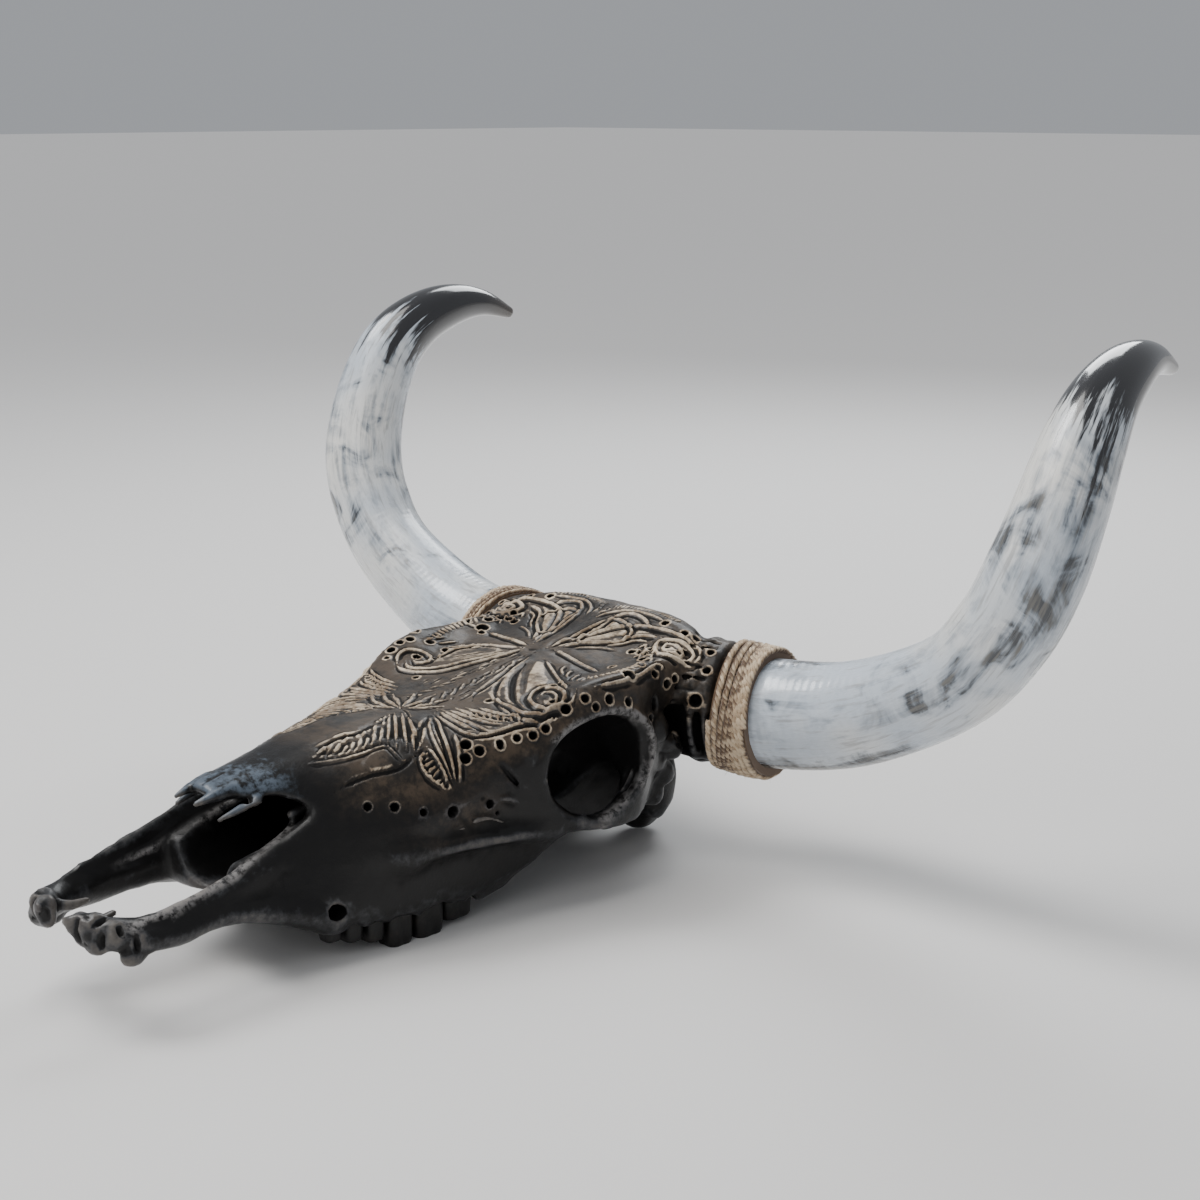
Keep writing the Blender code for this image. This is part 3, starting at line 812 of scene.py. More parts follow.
def drawStar(art):
    # The star on the forehead: a fan of ribs to the front, leaves to the sides, rays to the rear
    art.stroke([(24, -73), (30, -58), (36, -40), (40, -20), (46, -17), (54, -16), (57, -9)],
               0.9, 0.35, 0.7, 0.2)
    art.stroke([(18, -63), (17, -45), (16.5, -33), (19, -24), (17, -11), (13, 2), (7, 17)],
               1.0, 0.5, 0.5, 0.4)
    outer = [(24, -63), (29, -52), (33, -42), (36, -30), (38.5, -20), (44, -16), (50, -10), (55, -7),
             (53, 0)]
    inner = [(18.5, -30), (20, -29), (18, -14), (13, 0), (8, 14), (8, 18), (11, 20), (17, 20), (22, 17)]
    art.ribs(outer, inner, 14, 1.35, 1.3, 1.3, 1.0)
    art.groove([(44, -63), (49, -41), (56, -22), (56.5, -9), (58, -3)], 0.8, 1.1, 0.1, 0.1)
    art.groove([(27, 30), (34, 22), (41, 11), (46, 5), (51, -1), (56, -7)], 1.3, 1.8, 0.4, 0.5)
    art.groove([(3, 26), (14, 23), (24, 15)], 0.7, 0.8, 0.3, 0.5)
    art.fill([(42, -40), (50, -38), (55, -24), (52, -19), (43, -19), (39, -28)], 0.6, 0.12)
    # rays from the star's middle
    for end in ((16, 60), (2, 58), (22, 48), (-13, 55), (-26, 44), (-24, 30), (-16, 14)):
        art.stroke([(3, 26), ((3 + end[0]) / 2 + 1.2, (26 + end[1]) / 2), end],
                   1.2, 1.1, 0.9, 0.85, 0.3, left)
        art.groove([(3 + (end[0] - 3) * 0.3, 26 + (end[1] - 26) * 0.3), (end[0] + 2.4, end[1])],
                   0.7, 0.8, 0.2, 0.4, sides=left)
    art.stroke([(3, 26), (-18, 32), (-41, 48)], 1.3, 1.1, 0.9, 0.85, 0.3, left)
    art.stroke([(3, 26), (-20, 24), (-44, 41)], 1.3, 1.1, 0.9, 0.85, 0.3, left)
    art.fill([(3, 26), (-20, 6), (-30, -25), (-26, -58), (-6, -62), (-4, -20)], 0.25, 0.22, 3.0, left)


def drawLeaves(art):
    # Feathered leaves that run from the star to the side of the face and to the orbit's rim
    art.stroke([(56, 3), (60, -6), (67, -7), (73, -2), (78, 3), (81, 7)], 0.9, 0.7, 0.8, 0.8)
    art.stroke([(56, 3), (66, 4), (76, 4), (81, 7)], 0.9, 0.8, 0.8, 0.7)
    art.ribs([(58, -5), (64, -8), (70, -5), (76, 1)], [(60, 3), (66, 3.5), (71, 4), (77, 5)],
             8, 0.8, 0.9, 0.9, 0.8)
    art.stroke([(57, 25), (67, 20), (76, 13), (81, 8)], 1.1, 1.1, 0.9, 0.85)
    art.stroke([(28, 33), (40, 27), (51, 20), (66, 13), (76, 9), (81, 7)], 1.1, 1.0, 0.9, 0.8)
    art.stroke([(33, 25), (46, 15), (58, 9), (70, 7), (80, 7)], 0.9, 0.8, 0.8, 0.7)
    art.groove([(36, 27), (52, 17), (66, 11), (77, 8)], 0.8, 1.2, 0.2, 0.3)
    for row in ([(26, 36), (43, 31), (60, 30), (69, 35), (73, 42)],
                [(24, 40), (38, 38), (55, 36), (66, 39)],
                [(24, 43), (38, 42), (56, 41), (70, 43), (75, 49)],
                [(27, 46), (45, 47), (62, 49), (76, 56)],
                [(30, 51), (47, 51), (64, 53), (72, 58)],
                [(34, 56), (50, 56), (66, 60), (79, 66)],
                [(41, 61), (55, 61), (71, 65), (82, 71)]):
        art.stroke(row, 1.0, 1.1, 1.0, 0.9, 0.2)
    art.ribs([(44, 52), (54, 58), (66, 63), (74, 66)], [(50, 46), (60, 50), (71, 56), (80, 62)],
             8, 0.8, 0.8, 0.8, 0.9)
    art.groove([(60, 27), (69, 34), (75, 45), (80, 58), (87, 71), (94, 86)], 1.0, 1.3, 0.6, 0.8)
    art.fill([(28, 34), (44, 28), (60, 30), (70, 40), (78, 58), (82, 68), (60, 62), (40, 58), (27, 46)],
             0.1, 0.3)


def drawFrontScrolls(art):
    # Left side, which faces the camera
    art.groove([(6, 148), (8, 135), (11, 121), (18, 100), (22, 85), (24, 74), (31, 65)],
               1.2, 1.3, 0.5, 0.8, 0.2, left)
    art.groove([(15, 130), (24, 111), (38, 95), (56, 80), (72, 73)], 2.0, 2.0, 0.5, 0.7, 0.3, left)
    art.groove([(21, 104), (28, 90), (38, 80), (50, 75)], 1.2, 1.4, 0.4, 0.7, 0.3, left)
    art.fill([(17, 136), (30, 116), (44, 100), (56, 90), (54, 104), (52, 118), (38, 128), (24, 140)],
             0.8, 0.95, 3, left)
    art.fill([(11, 130), (17, 108), (25, 94), (36, 86), (30, 98), (20, 114)], 0.6, 0.9, 2.5, left)
    art.fill([(27, 80), (40, 74), (52, 72), (44, 79), (33, 88)], 0.4, 0.75, 2.0, left)
    art.stroke([(36, 82), (48, 74), (60, 72), (74, 70), (84, 75), (90, 85), (94, 96), (90, 104)],
               1.3, 1.2, 1.0, 1.0, 0.15, left)
    art.stroke([(44, 73), (66, 66), (81, 67), (90, 76), (95, 89)], 1.0, 0.8, 0.8, 0.9, 0.15, left)
    art.stroke([(64, 86), (56, 97), (55, 108), (66, 107), (79, 101), (89, 94), (89, 86), (84, 80),
                (74, 80), (64, 86)], 1.4, 1.3, 1.2, 0.95, 0, left)
    art.stroke([(70, 88), (67, 97), (74, 98), (84, 92), (86, 87), (80, 85), (76, 88)],
               1.1, 0.9, 1.0, 0.8, 0.2, left)
    art.stroke([(19, 144), (37, 134), (54, 124), (70, 113), (84, 101)], 1.1, 1.0, 0.9, 0.9, 0.15, left)
    art.stroke([(52, 119), (60, 121), (68, 112)], 0.9, 0.7, 0.8, 0.9, 0.2, left)
    # Right side
    art.stroke([(67, 83), (60, 79), (48, 80), (38, 84), (28, 91), (22, 104), (16, 119), (10, 135), (7, 150)],
               1.3, 1.2, 1.1, 0.95, 0.1, right)
    art.stroke([(66, 90), (58, 85), (48, 87), (35, 97), (29, 111), (20, 127), (13, 142)],
               1.1, 1.0, 1.0, 0.85, 0.1, right)
    art.stroke([(67, 83), (75, 91), (75, 100), (67, 106), (57, 106), (52, 99), (57, 93), (65, 95)],
               1.3, 1.2, 1.1, 0.9, 0.1, right)
    art.stroke([(54, 103), (53, 112), (55, 125), (51, 136), (41, 144), (27, 146), (9, 149)],
               1.2, 1.1, 1.0, 0.95, 0.1, right)
    art.fill([(15, 140), (23, 124), (35, 108), (48, 98), (51, 112), (52, 128), (42, 140), (27, 144)],
             0.5, 0.6, 3, right)
    art.groove([(24, 137), (36, 121), (46, 108)], 0.8, 0.7, 0.3, 0.6, 0.3, right)


def drawMiddle(art):
    # The crossing of the arms, the straight lines to the drilled holes, and the short ribs by the orbit
    art.groove([(0, 138), (0, 150), (0, 164)], 3.2, 0.6, 0.2, 0.3, 0.4, left)
    art.groove([(9, 156), (0, 152), (-9, 150)], 2.4, 0.5, 0.2, 0.3, 0.4, left)
    art.stroke([(14, 159), (39, 155), (66, 151)], 1.2, 1.3, 1.0, 1.0, 0.12, left)
    art.stroke([(8, 154), (38, 161), (64, 168)], 1.2, 1.3, 1.0, 1.0, 0.12, right)
    art.stroke([(75, 166), (84, 165)], 1.0, 0.9, 0.8, 0.9, 0.2, right)
    art.stroke([(6, 112), (4, 128), (3, 142)], 0.9, 0.5, 0.5, 0.5)
    art.stroke([(10, 98), (7, 116), (5, 134)], 0.8, 0.4, 0.5, 0.4)
    for k in range(5):
        art.stroke([(38 + 9 * k, 147 - 2 * k), (42 + 9 * k, 138 - 4 * k), (50 + 8 * k, 133 - 4 * k)],
                   0.9, 0.7, 0.7, 0.7, 0.3, both)
    art.ribs([(82, 127), (88, 145), (90, 162), (88, 176)], [(74, 131), (79, 146), (81, 162), (80, 172)], 11,
             1.0, 0.9, 0.8, 0.75)
    art.stroke([(95, 116), (97, 135), (96, 155), (93, 172), (90, 186)], 1.1, 0.9, 0.8, 0.7)


def drawFeathers(art):
    # Shallow feathered cuts that fill the middle of the forehead
    for k in range(9):
        y = 58 + 9 * k
        for side in both:
            art.stroke([(side * 2, y), (side * (7 + k % 3), y - 7), (side * (15 - k), y - 17)],
                       0.8, 0.45, 0.5, 0.35, 0.3, left)
    for x, y in ((12, 78), (-12, 84), (16, 62), (-18, 66), (5, 92), (-5, 99), (22, 58), (-25, 60)):
        art.groove([(x, y), (x + 1, y + 9), (x - 1, y + 19)], 0.7, 0.7, 0.3, 0.4, 0.3, left)


def drawRearScrolls(art):
    # Bands that sweep back from the crossing and curl into an oval spiral over each temple
    art.stroke([(8, 162), (10, 174), (15, 184), (23, 198), (32, 210), (45, 217), (63, 219), (80, 219),
                (92, 220), (100, 215), (101, 208), (95, 199), (86, 191)], 1.3, 1.2, 1.0, 1.0, 0.08)
    art.stroke([(14, 164), (22, 177), (33, 188), (42, 199), (54, 209), (68, 212)], 1.2, 1.1, 1.0, 0.95, 0.12)
    art.fill([(9, 164), (20, 186), (34, 203), (48, 213), (60, 213), (44, 200), (28, 182), (15, 165)],
             0.5, 0.75, 2.0)
    art.stroke([(34, 184), (44, 192), (52, 203), (63, 206)], 1.0, 0.9, 0.9, 0.9, 0.2)
    art.stroke([(19, 166), (30, 176), (40, 182), (52, 186)], 0.8, 0.6, 0.7, 0.7, 0.2)
    art.stroke([(72, 199), (69, 207), (77, 212), (89, 215), (97, 213), (97, 206), (91, 197), (82, 192),
                (72, 199)], 1.5, 1.3, 1.1, 1.0, 0)
    art.stroke([(77, 201), (77, 207), (84, 209), (91, 207), (90, 202), (84, 199)], 1.1, 0.9, 1.0, 0.9, 0.15)
    art.fill([(72, 199), (69, 207), (77, 212), (89, 215), (97, 213), (97, 206), (91, 197), (82, 192)],
             0.2, 0.6, 1.5)
    for x, y in ((63, 190), (71, 189), (78, 187), (84, 180), (94, 180), (62, 198), (70, 183)):
        art.stroke([(x - 3.5, y - 3), (x, y + 3.5), (x + 3.5, y - 3)], 0.8, 0.8, 0.8, 0.85, 0.2)
    # leaf over the poll
    art.stroke([(7, 158), (9, 177), (11, 194), (15, 212), (24, 224), (39, 224), (53, 216)],
               1.2, 1.1, 1.0, 0.85, 0.1)
    art.stroke([(44, 198), (42, 208), (31, 214), (18, 214), (17, 201), (15, 186), (20, 178), (36, 189),
                (44, 198)], 1.1, 1.0, 1.0, 0.95, 0)
    art.fill([(42, 200), (40, 208), (30, 212), (20, 212), (19, 200), (18, 186), (22, 181), (34, 190)],
             0.4, 0.85, 2.0)
    art.ribs([(3, 214), (10, 226), (24, 233), (42, 234), (60, 230)],
             [(3, 224), (8, 236), (24, 242), (44, 243), (64, 238)], 22, 0.8, 0.6, 0.6, 0.5)
    art.stroke([(3, 205), (10, 220), (24, 229), (42, 230), (60, 226)], 1.0, 0.8, 0.8, 0.6)


def drawCarving():
    art = Drawing((-118, -90), (118, 250))
    drawStar(art)
    drawLeaves(art)
    drawFrontScrolls(art)
    drawMiddle(art)
    drawFeathers(art)
    drawRearScrolls(art)
    np.clip(art.height, -2.0, 1.5, out=art.height)
    np.clip(art.pale, -1, 1, out=art.pale)
    return art


# Drilled holes: (x, y) seen from above or (y, z) seen from the side, then the radius, all in mm
drilled = {
    "roof, both sides": [
        (81, 43.5, 2.5), (84.5, 55, 2.5), (89, 65, 2.7), (91.5, 74, 2.7), (66, 163, 2.3), (95.5, 174, 2.6),
        (86, 227, 2.4), (78, 224, 2.6), (58, 226, 2.8), (105, 221, 2.5), (59.5, 190, 2.8), (66.5, 191, 2.6),
        (74, 190, 2.8), (78, 181, 3.0), (98, 185, 3.2), (87, 169, 2.4), (111, 210, 2.8), (70, 199, 2.2)],
    "roof, left": [
        (40, 72, 2.3), (59, 113, 3.2), (93, 151, 4.6), (84, 88, 1.8), (81, 203, 1.9), (89, 205, 1.9)],
    "roof, right": [
        (91, 121, 3), (84, 110, 2.9), (86, 102, 2.5), (84, 92, 3), (74, 120, 3), (59, 122, 2.8),
        (54, 107, 2.4), (64, 99, 2.8), (71.5, 169, 4.6), (79, 84, 1.8), (36, 74, 2.2), (80, 203, 1.9)],
    "side": [
        (20, 115, 3.4), (30.3, 118, 3.2), (25, 122, 3.6), (44, 121, 2.4), (90.6, 136.5, 3.2),
        (105, 141.5, 2.8), (111, 135, 2.6), (124, 137.5, 3.2), (140.5, 132.3, 3), (162.5, 116, 2.8),
        (-48, 96.2, 2.6), (-33, 94, 2.8), (-17, 88.7, 2.4), (3, 85, 3.8), (30, 84.6, 2.8), (36, 77, 1.4),
        (184, 135, 3), (198, 123, 4.4), (192, 137, 2.6)],
}


def drillHoles(clay):
    # Sinks each hole along the surface's own direction and raises a rim; returns their centres and radii
    made = []
    for label, holes in drilled.items():
        sides = {"left": left, "right": right}.get(label.split(", ")[-1], both)
        for a, b, radius in holes:
            for side in sides:
                if label == "side":
                    path = np.array([(side * x, a, b) for x in np.arange(124, 20, -0.5)])
                else:
                    path = np.array([(side * a, b, z) for z in np.arange(175, 60, -0.5)])
                inside = clay.read(clay.field, path) < 0
                if not inside.any():
                    continue
                spot = path[np.argmax(inside)]
                step = np.eye(3) * 2.5
                lean = clay.read(clay.field, spot + step) - clay.read(clay.field, spot - step)
                made.append((spot, lean / np.linalg.norm(lean), radius))
    for spot, lean, radius in made:
        low, high = spot - 3 * radius - 10, spot + 3 * radius + 10
        cut, x, y, z = clay.window(low, high)
        along = (x - spot[0]) * lean[0] + (y - spot[1]) * lean[1] + (z - spot[2]) * lean[2]
        out = np.sqrt(np.clip((x - spot[0]) ** 2 + (y - spot[1]) ** 2 + (z - spot[2]) ** 2 - along ** 2,
                              0, None))
        rim = (sculpt["rim height"] * np.exp(-((out - radius - 0.8) / 0.9) ** 2) * (np.abs(along) < 5)
               * (0.35 + 0.65 * smoothStep(spot[2], 95, 120)))
        bone = clay.field[cut] - rim
        well = np.maximum(out - radius * (1 + 0.02 * along), -along - sculpt["hole depth"])
        clay.field[cut] = np.maximum(bone, -well)
    return made


def shapeMuzzle(clay):
    for line in ([(27, -78, 90.5, 2.2), (34, -97, 82.5, 2.3), (38, -129, 72.5, 2.2), (40, -160, 66.5, 2.0),
                  (42, -188, 63, 2.2), (42, -212, 59.5, 2.6)],
                 [(24, -226, 60, 4.0), (16, -214, 59, 3.0), (14, -205, 60, 1.8)]):
        clay.add(rod(line), 2.5)
    clay.add(rod([(45, -208, 51, 6.5), (46, -180, 48.5, 6), (46, -150, 50, 5), (49, -120, 44, 6),
                  (53, -95, 35, 6.5), (57, -78, 27, 6)]), 7.0)
    for centre, radii in (((27, -226, 62), (8, 8, 8)), ((37, -218, 56), (9, 9, 9)),
                          ((45, -206, 52), (6, 9, 8)), ((18, -229, 62), (6, 5, 7)),
                          ((30, -226, 53), (9, 8, 8)), ((20, -229, 54), (7, 5, 6)),
                          ((44, -212, 44), (6, 8, 6))):
        clay.add(ellipsoid(centre, radii), 3.0)
    for centre, radii in (((23, -235, 60), (2.2, 4, 9)), ((33, -226, 66), (2.0, 6, 3)),
                          ((43, -219, 62), (3, 2.2, 5)), ((27, -230, 70), (5, 2, 3)),
                          ((37, -229, 56), (2, 4, 6)), ((49, -212, 54), (3, 1.8, 6)),
                          ((28, -235, 52), (6, 3, 1.6)), ((40, -224, 47), (5, 3, 1.6)),
                          ((14, -234, 58), (2, 4, 6))):
        clay.remove(ellipsoid(centre, radii), 1.6)


def shapeNose(clay):
    clay.remove(rod([(0, -146, 120, 4.5), (0, -128, 121, 3.0), (0, -114, 122, 1.2)]), 1.5)
    clay.add(rod([(13, -116, 114, 4.5), (12, -130, 112.5, 3.4), (10.5, -142, 110, 1.4)]), 2.0)
    clay.add(rod([(23, -106, 107, 3.6), (24, -122, 104, 2.6), (22, -134, 100.5, 1.3)]), 2.0)
    clay.remove(rod([(18, -142, 108, 3.5), (18.5, -126, 109, 2.6), (19, -117, 110, 1.2)]), 1.2)
    clay.remove(ellipsoid((23, -113, 108), (2.2, 3.5, 9.0)), 0.8)
    clay.add(rod([(28, -84, 93, 3.0), (29, -72, 95, 3.2), (33, -55, 98, 2.6)]), 2.5)
    clay.remove(rod([(30, -90, 96, 1.2), (33, -74, 99.5, 1.0), (37, -58, 104, 0.8), (42, -44, 110, 0.8)]),
                0.8)


def shapeOrbit(clay):
    rim = [(91, 66, 104, 3), (93, 78, 118, 3), (96, 95, 127, 3.4), (98, 118, 131, 3.5), (101, 140, 127, 3.4),
           (104, 157, 113, 3.2), (105, 162, 98, 3), (104, 158, 82, 3), (103, 146, 68, 3), (103, 130, 59, 3),
           (103, 113, 55, 3), (100, 96, 59, 3), (94, 80, 72, 3), (90, 70, 86, 3), (91, 66, 104, 3)]
    clay.add(rod(rim), 3.5)
    clay.remove(ellipsoid((74, 112, 94), (34.0, 36.0, 30.0)), 2.0)
    clay.remove(ellipsoid((68, 116, 84), (32.0, 34.0, 27.0)), 4.0)
    for centre, radii in (((89, 64, 101), (5, 6, 8)), ((90, 71, 84), (5, 6, 7)), ((90, 61, 111), (4, 5, 4)),
                          ((86, 55, 92), (4, 7, 3)), ((101, 96, 60), (4, 6, 4))):
        clay.add(ellipsoid(centre, radii), 3.0)
    for line in ([(92, 62, 108, 1.5), (90, 60, 97, 1.2), (91, 64, 88, 1.5)],
                 [(94, 70, 95, 2), (93, 68, 88, 1.6)], [(88, 66, 77, 1.2), (92, 76, 68, 1.4)]):
        clay.remove(rod(line), 1.0)
    # the cheek's crest, the swelling over the teeth and the nerve's opening
    clay.add(rod([(73, -24, 62, 3.5), (80, 10, 61, 4), (87, 42, 60, 4), (95, 78, 57, 4)]), 8.0)
    for line in ([(83, 6, 73, 0.6), (87, 24, 77, 0.9), (90, 38, 71, 0.6)],
                 [(84, 30, 84, 0.6), (89, 42, 86, 0.9), (90, 54, 79, 0.6)]):
        clay.add(rod(line), 5.0)
    for line in ([(85, 25, 89, 1.1), (89, 34, 85, 1.2), (91, 46, 80, 1.1)],
                 [(82, 8, 80, 1.0), (85, 18, 70, 1.2), (88, 34, 66, 1.0)],
                 [(87, 40, 108, 1.0), (88, 48, 97, 1.2), (89, 56, 88, 1.0)]):
        clay.remove(rod(line), 4.0)
    clay.add(ellipsoid((70, -28, 62), (8.0, 14.0, 9.0)), 9.0)
    clay.remove(ellipsoid((57, -77, 35), (9.0, 7.5, 5.5)), 1.5)
    clay.add(rod([(56, -84, 30, 1.6), (57, -75, 29, 1.8), (57, -68, 33, 1.4)]), 1.5)


def shapeTemple(clay):
    # Knobs and hollows behind the orbit, the collar at the root of the horn, and the ear's opening
    for centre, radii in (((96, 178, 104), (7, 7, 9)), ((92, 190, 92), (6, 8, 7)),
                          ((84, 186, 76), (8, 8, 8)), ((90, 200, 84), (6, 6, 8)),
                          ((82, 200, 64), (7, 7, 8)), ((74, 196, 48), (8, 7, 9)),
                          ((88, 176, 88), (6, 5, 9))):
        clay.add(ellipsoid(centre, radii), 8.0)
    for centre, radii in (((97, 190, 112), (5, 5, 6)), ((90, 194, 100), (5, 4, 5)),
                          ((90, 184, 66), (6, 4, 5)), ((80, 178, 40), (8, 6, 6)),
                          ((100, 205, 118), (5, 4, 6)), ((98, 170, 124), (5, 3, 5))):
        clay.remove(ellipsoid(centre, radii), 2.5)
    centre, run = np.array(sculpt["collar"]), np.array(sculpt["collar facing"])
    side = np.cross(run, (0, 0, 1))
    side /= np.linalg.norm(side)
    top = np.cross(side, run)
    for shift, reach, tube in ((-2, 41, 2.4), (8, 39.5, 1.6)):
        ring = [centre + run * shift + reach * (side * math.cos(a) + top * math.sin(a))
                for a in np.linspace(0, math.tau, 25)]
        clay.add(rod([(*p, tube) for p in ring]), 7.0)
    for k in range(30):
        a = math.radians(12 * k)
        spoke = side * math.cos(a) + top * math.sin(a)
        clay.remove(rod([(*(centre + run * s + spoke * (42.5 + k % 3)), 1.3) for s in (-16, -5, 5)]), 1.5)


def roughen(clay, amount):
    # Uneven bone: three sizes of smooth noise, made on coarse grids and stretched over the clay
    draws = np.random.default_rng(sculpt["seed"])
    skin = np.abs(clay.field) < 4
    i, j, k = np.nonzero(skin)
    points = np.stack([axis[n] - axis[0] for axis, n in zip(clay.axes, (i, j, k))], 1)
    total = np.zeros(len(points), np.float32)
    for spacing, share in sculpt["noise"]:
        size = np.array([int((axis[-1] - axis[0]) / spacing) + 3 for axis in clay.axes])
        grid = draws.normal(size=tuple(size)).astype(np.float32)
        at = points / spacing
        base = at.astype(int)
        part = at - base
        part = part * part * (3 - 2 * part)
        for corner in cellCorners:
            a, b, c = (base + corner).T
            total += grid[a, b, c] * np.where(corner, part, 1 - part).prod(1) * share
    clay.field[skin] += total * amount * 0.5


def carve(clay, art):
    # Lays the drawing on the parts of the surface that face up
    slope = np.gradient(clay.field, clay.axes[2], axis=2)
    chosen = (np.abs(clay.field) < 3.5) & (slope > 0.3)
    chosen[:, :, :np.searchsorted(clay.axes[2], 70)] = False
    i, j, _ = np.nonzero(chosen)
    x, y = clay.axes[0][i], clay.axes[1][j]
    weight = smoothStep(slope[chosen], 0.3, 0.5)
    clay.field[chosen] -= art.read(art.height, x, y) * weight * sculpt["relief"]


def shapeSkull():
    clay = Clay([axisOf(*sculpt[name]) for name in "xyz"])
    shapeMuzzle(clay)
    shapeNose(clay)
    shapeOrbit(clay)
    shapeTemple(clay)
    roughen(clay, sculpt["bone noise"])
    art = drawCarving()
    carve(clay, art)
    holes = drillHoles(clay)
    clay.field[:1], clay.field[-1:] = 3.0, 3.0   # mm, so that nothing is open at the grid's ends
    return clay, art, holes


clay, art, holes = shapeSkull()
report("the skull's clay")


def meshOf(name, points, corners, sizes):
    mesh = bpy.data.meshes.new(name)
    mesh.vertices.add(len(points))
    mesh.vertices.foreach_set("co", np.asarray(points, np.float32).ravel())
    mesh.loops.add(len(corners))
    mesh.loops.foreach_set("vertex_index", np.asarray(corners, np.int32))
    mesh.polygons.add(len(sizes))
    mesh.polygons.foreach_set("loop_start", np.concatenate([[0], np.cumsum(sizes)[:-1]]).astype(np.int32))
    mesh.update(calc_edges=True)
    mesh.validate()
    mesh.shade_smooth()
    return mesh


def meshFromClay(clay, name):
    grid = vdb.FloatGrid()
    grid.copyFromArray(clay.field)
    points, triangles, quads = grid.convertToPolygons(isovalue=0.0, adaptivity=0.0)
    corners = np.concatenate([quads.ravel(), triangles.ravel()])
    sizes = np.concatenate([np.full(len(quads), 4), np.full(len(triangles), 3)])
    return meshOf(name, toPart(clay.places(points)), corners, sizes)


def thinned(mesh, name, target):
    # Fewer triangles, taken first where nothing is carved
    whole = bpy.data.objects.new(name + "_dense", mesh)
    bpy.context.scene.collection.objects.link(whole)
    place, normal = vertexRows(mesh) / mm, vertexRows(mesh, "normal")
    plain = 1 - (0.93 * smoothStep(normal[:, 2], -0.1, 0.35) * smoothStep(place[:, 1] - drawnY, -90, -40)
                 * smoothStep(place[:, 2], 75, 100))
    plain -= (0.45 * smoothStep(np.abs(normal[:, 0]), 0.2, 0.6) * smoothStep(np.abs(place[:, 0]), 30, 60)
              * smoothStep(place[:, 2], 30, 60))
    group = whole.vertex_groups.new(name="plain")
    for level in range(11):
        chosen = np.nonzero(np.round(np.clip(plain, 0, 1) * 10) == level)[0]
        group.add(chosen.tolist(), level / 10, "REPLACE")
    thin = whole.modifiers.new("thin", "DECIMATE")
    mesh.calc_loop_triangles()
    thin.ratio = min(1.0, target / len(mesh.loop_triangles))
    thin.vertex_group = "plain"
    thin.vertex_group_factor = sculpt["roof first"]
    graph = bpy.context.evaluated_depsgraph_get()
    made = bpy.data.meshes.new_from_object(whole.evaluated_get(graph))
    bpy.data.objects.remove(whole)
    made.name = name
    made.shade_smooth()
    return made


def keep(mesh, name, values):
    mesh.attributes.new(name, "FLOAT", "POINT").data.foreach_set("value", np.asarray(values, np.float32))


def skyShare(mesh, count, reach):
    # How open each point is: the share of evenly spread rays that leave without a hit within reach
    place, normal = vertexRows(mesh), vertexRows(mesh, "normal")
    tree = BVHTree.FromPolygons(place.tolist(), trianglesOf(mesh).tolist())
    k = np.arange(count) + 0.5
    height = 1 - 2 * k / count
    turn = k * math.pi * (3 - math.sqrt(5))
    ways = np.stack([np.cos(turn) * np.sqrt(1 - height ** 2), np.sin(turn) * np.sqrt(1 - height ** 2),
                     height], 1)
    facing = normal @ ways.T
    starts = place + normal * 0.0006   # m, clear of the surface itself
    openness, total = np.zeros(len(place)), np.zeros(len(place))
    for way, share in zip(ways, facing.T):
        direction = Vector(way)
        chosen = np.nonzero(share > 0.15)[0]
        free = [tree.ray_cast(starts[i], direction, reach)[0] is None for i in chosen]
        openness[chosen] += share[chosen] * free
        total[chosen] += share[chosen]
    return openness / np.maximum(total, 1e-6)


brightEdges = [   # painted edge highlights, as lines inside the rim that they run along
    [(101, 140, 127), (104, 157, 113), (105, 162, 98), (104, 158, 82), (103, 146, 68), (103, 130, 59),
     (103, 113, 55)],
    [(27, -78, 90), (34, -97, 82), (38, -129, 72), (40, -160, 66), (42, -188, 62), (42, -212, 59)],
    [(93, 78, 118), (96, 95, 127), (98, 118, 131), (101, 140, 127)]]


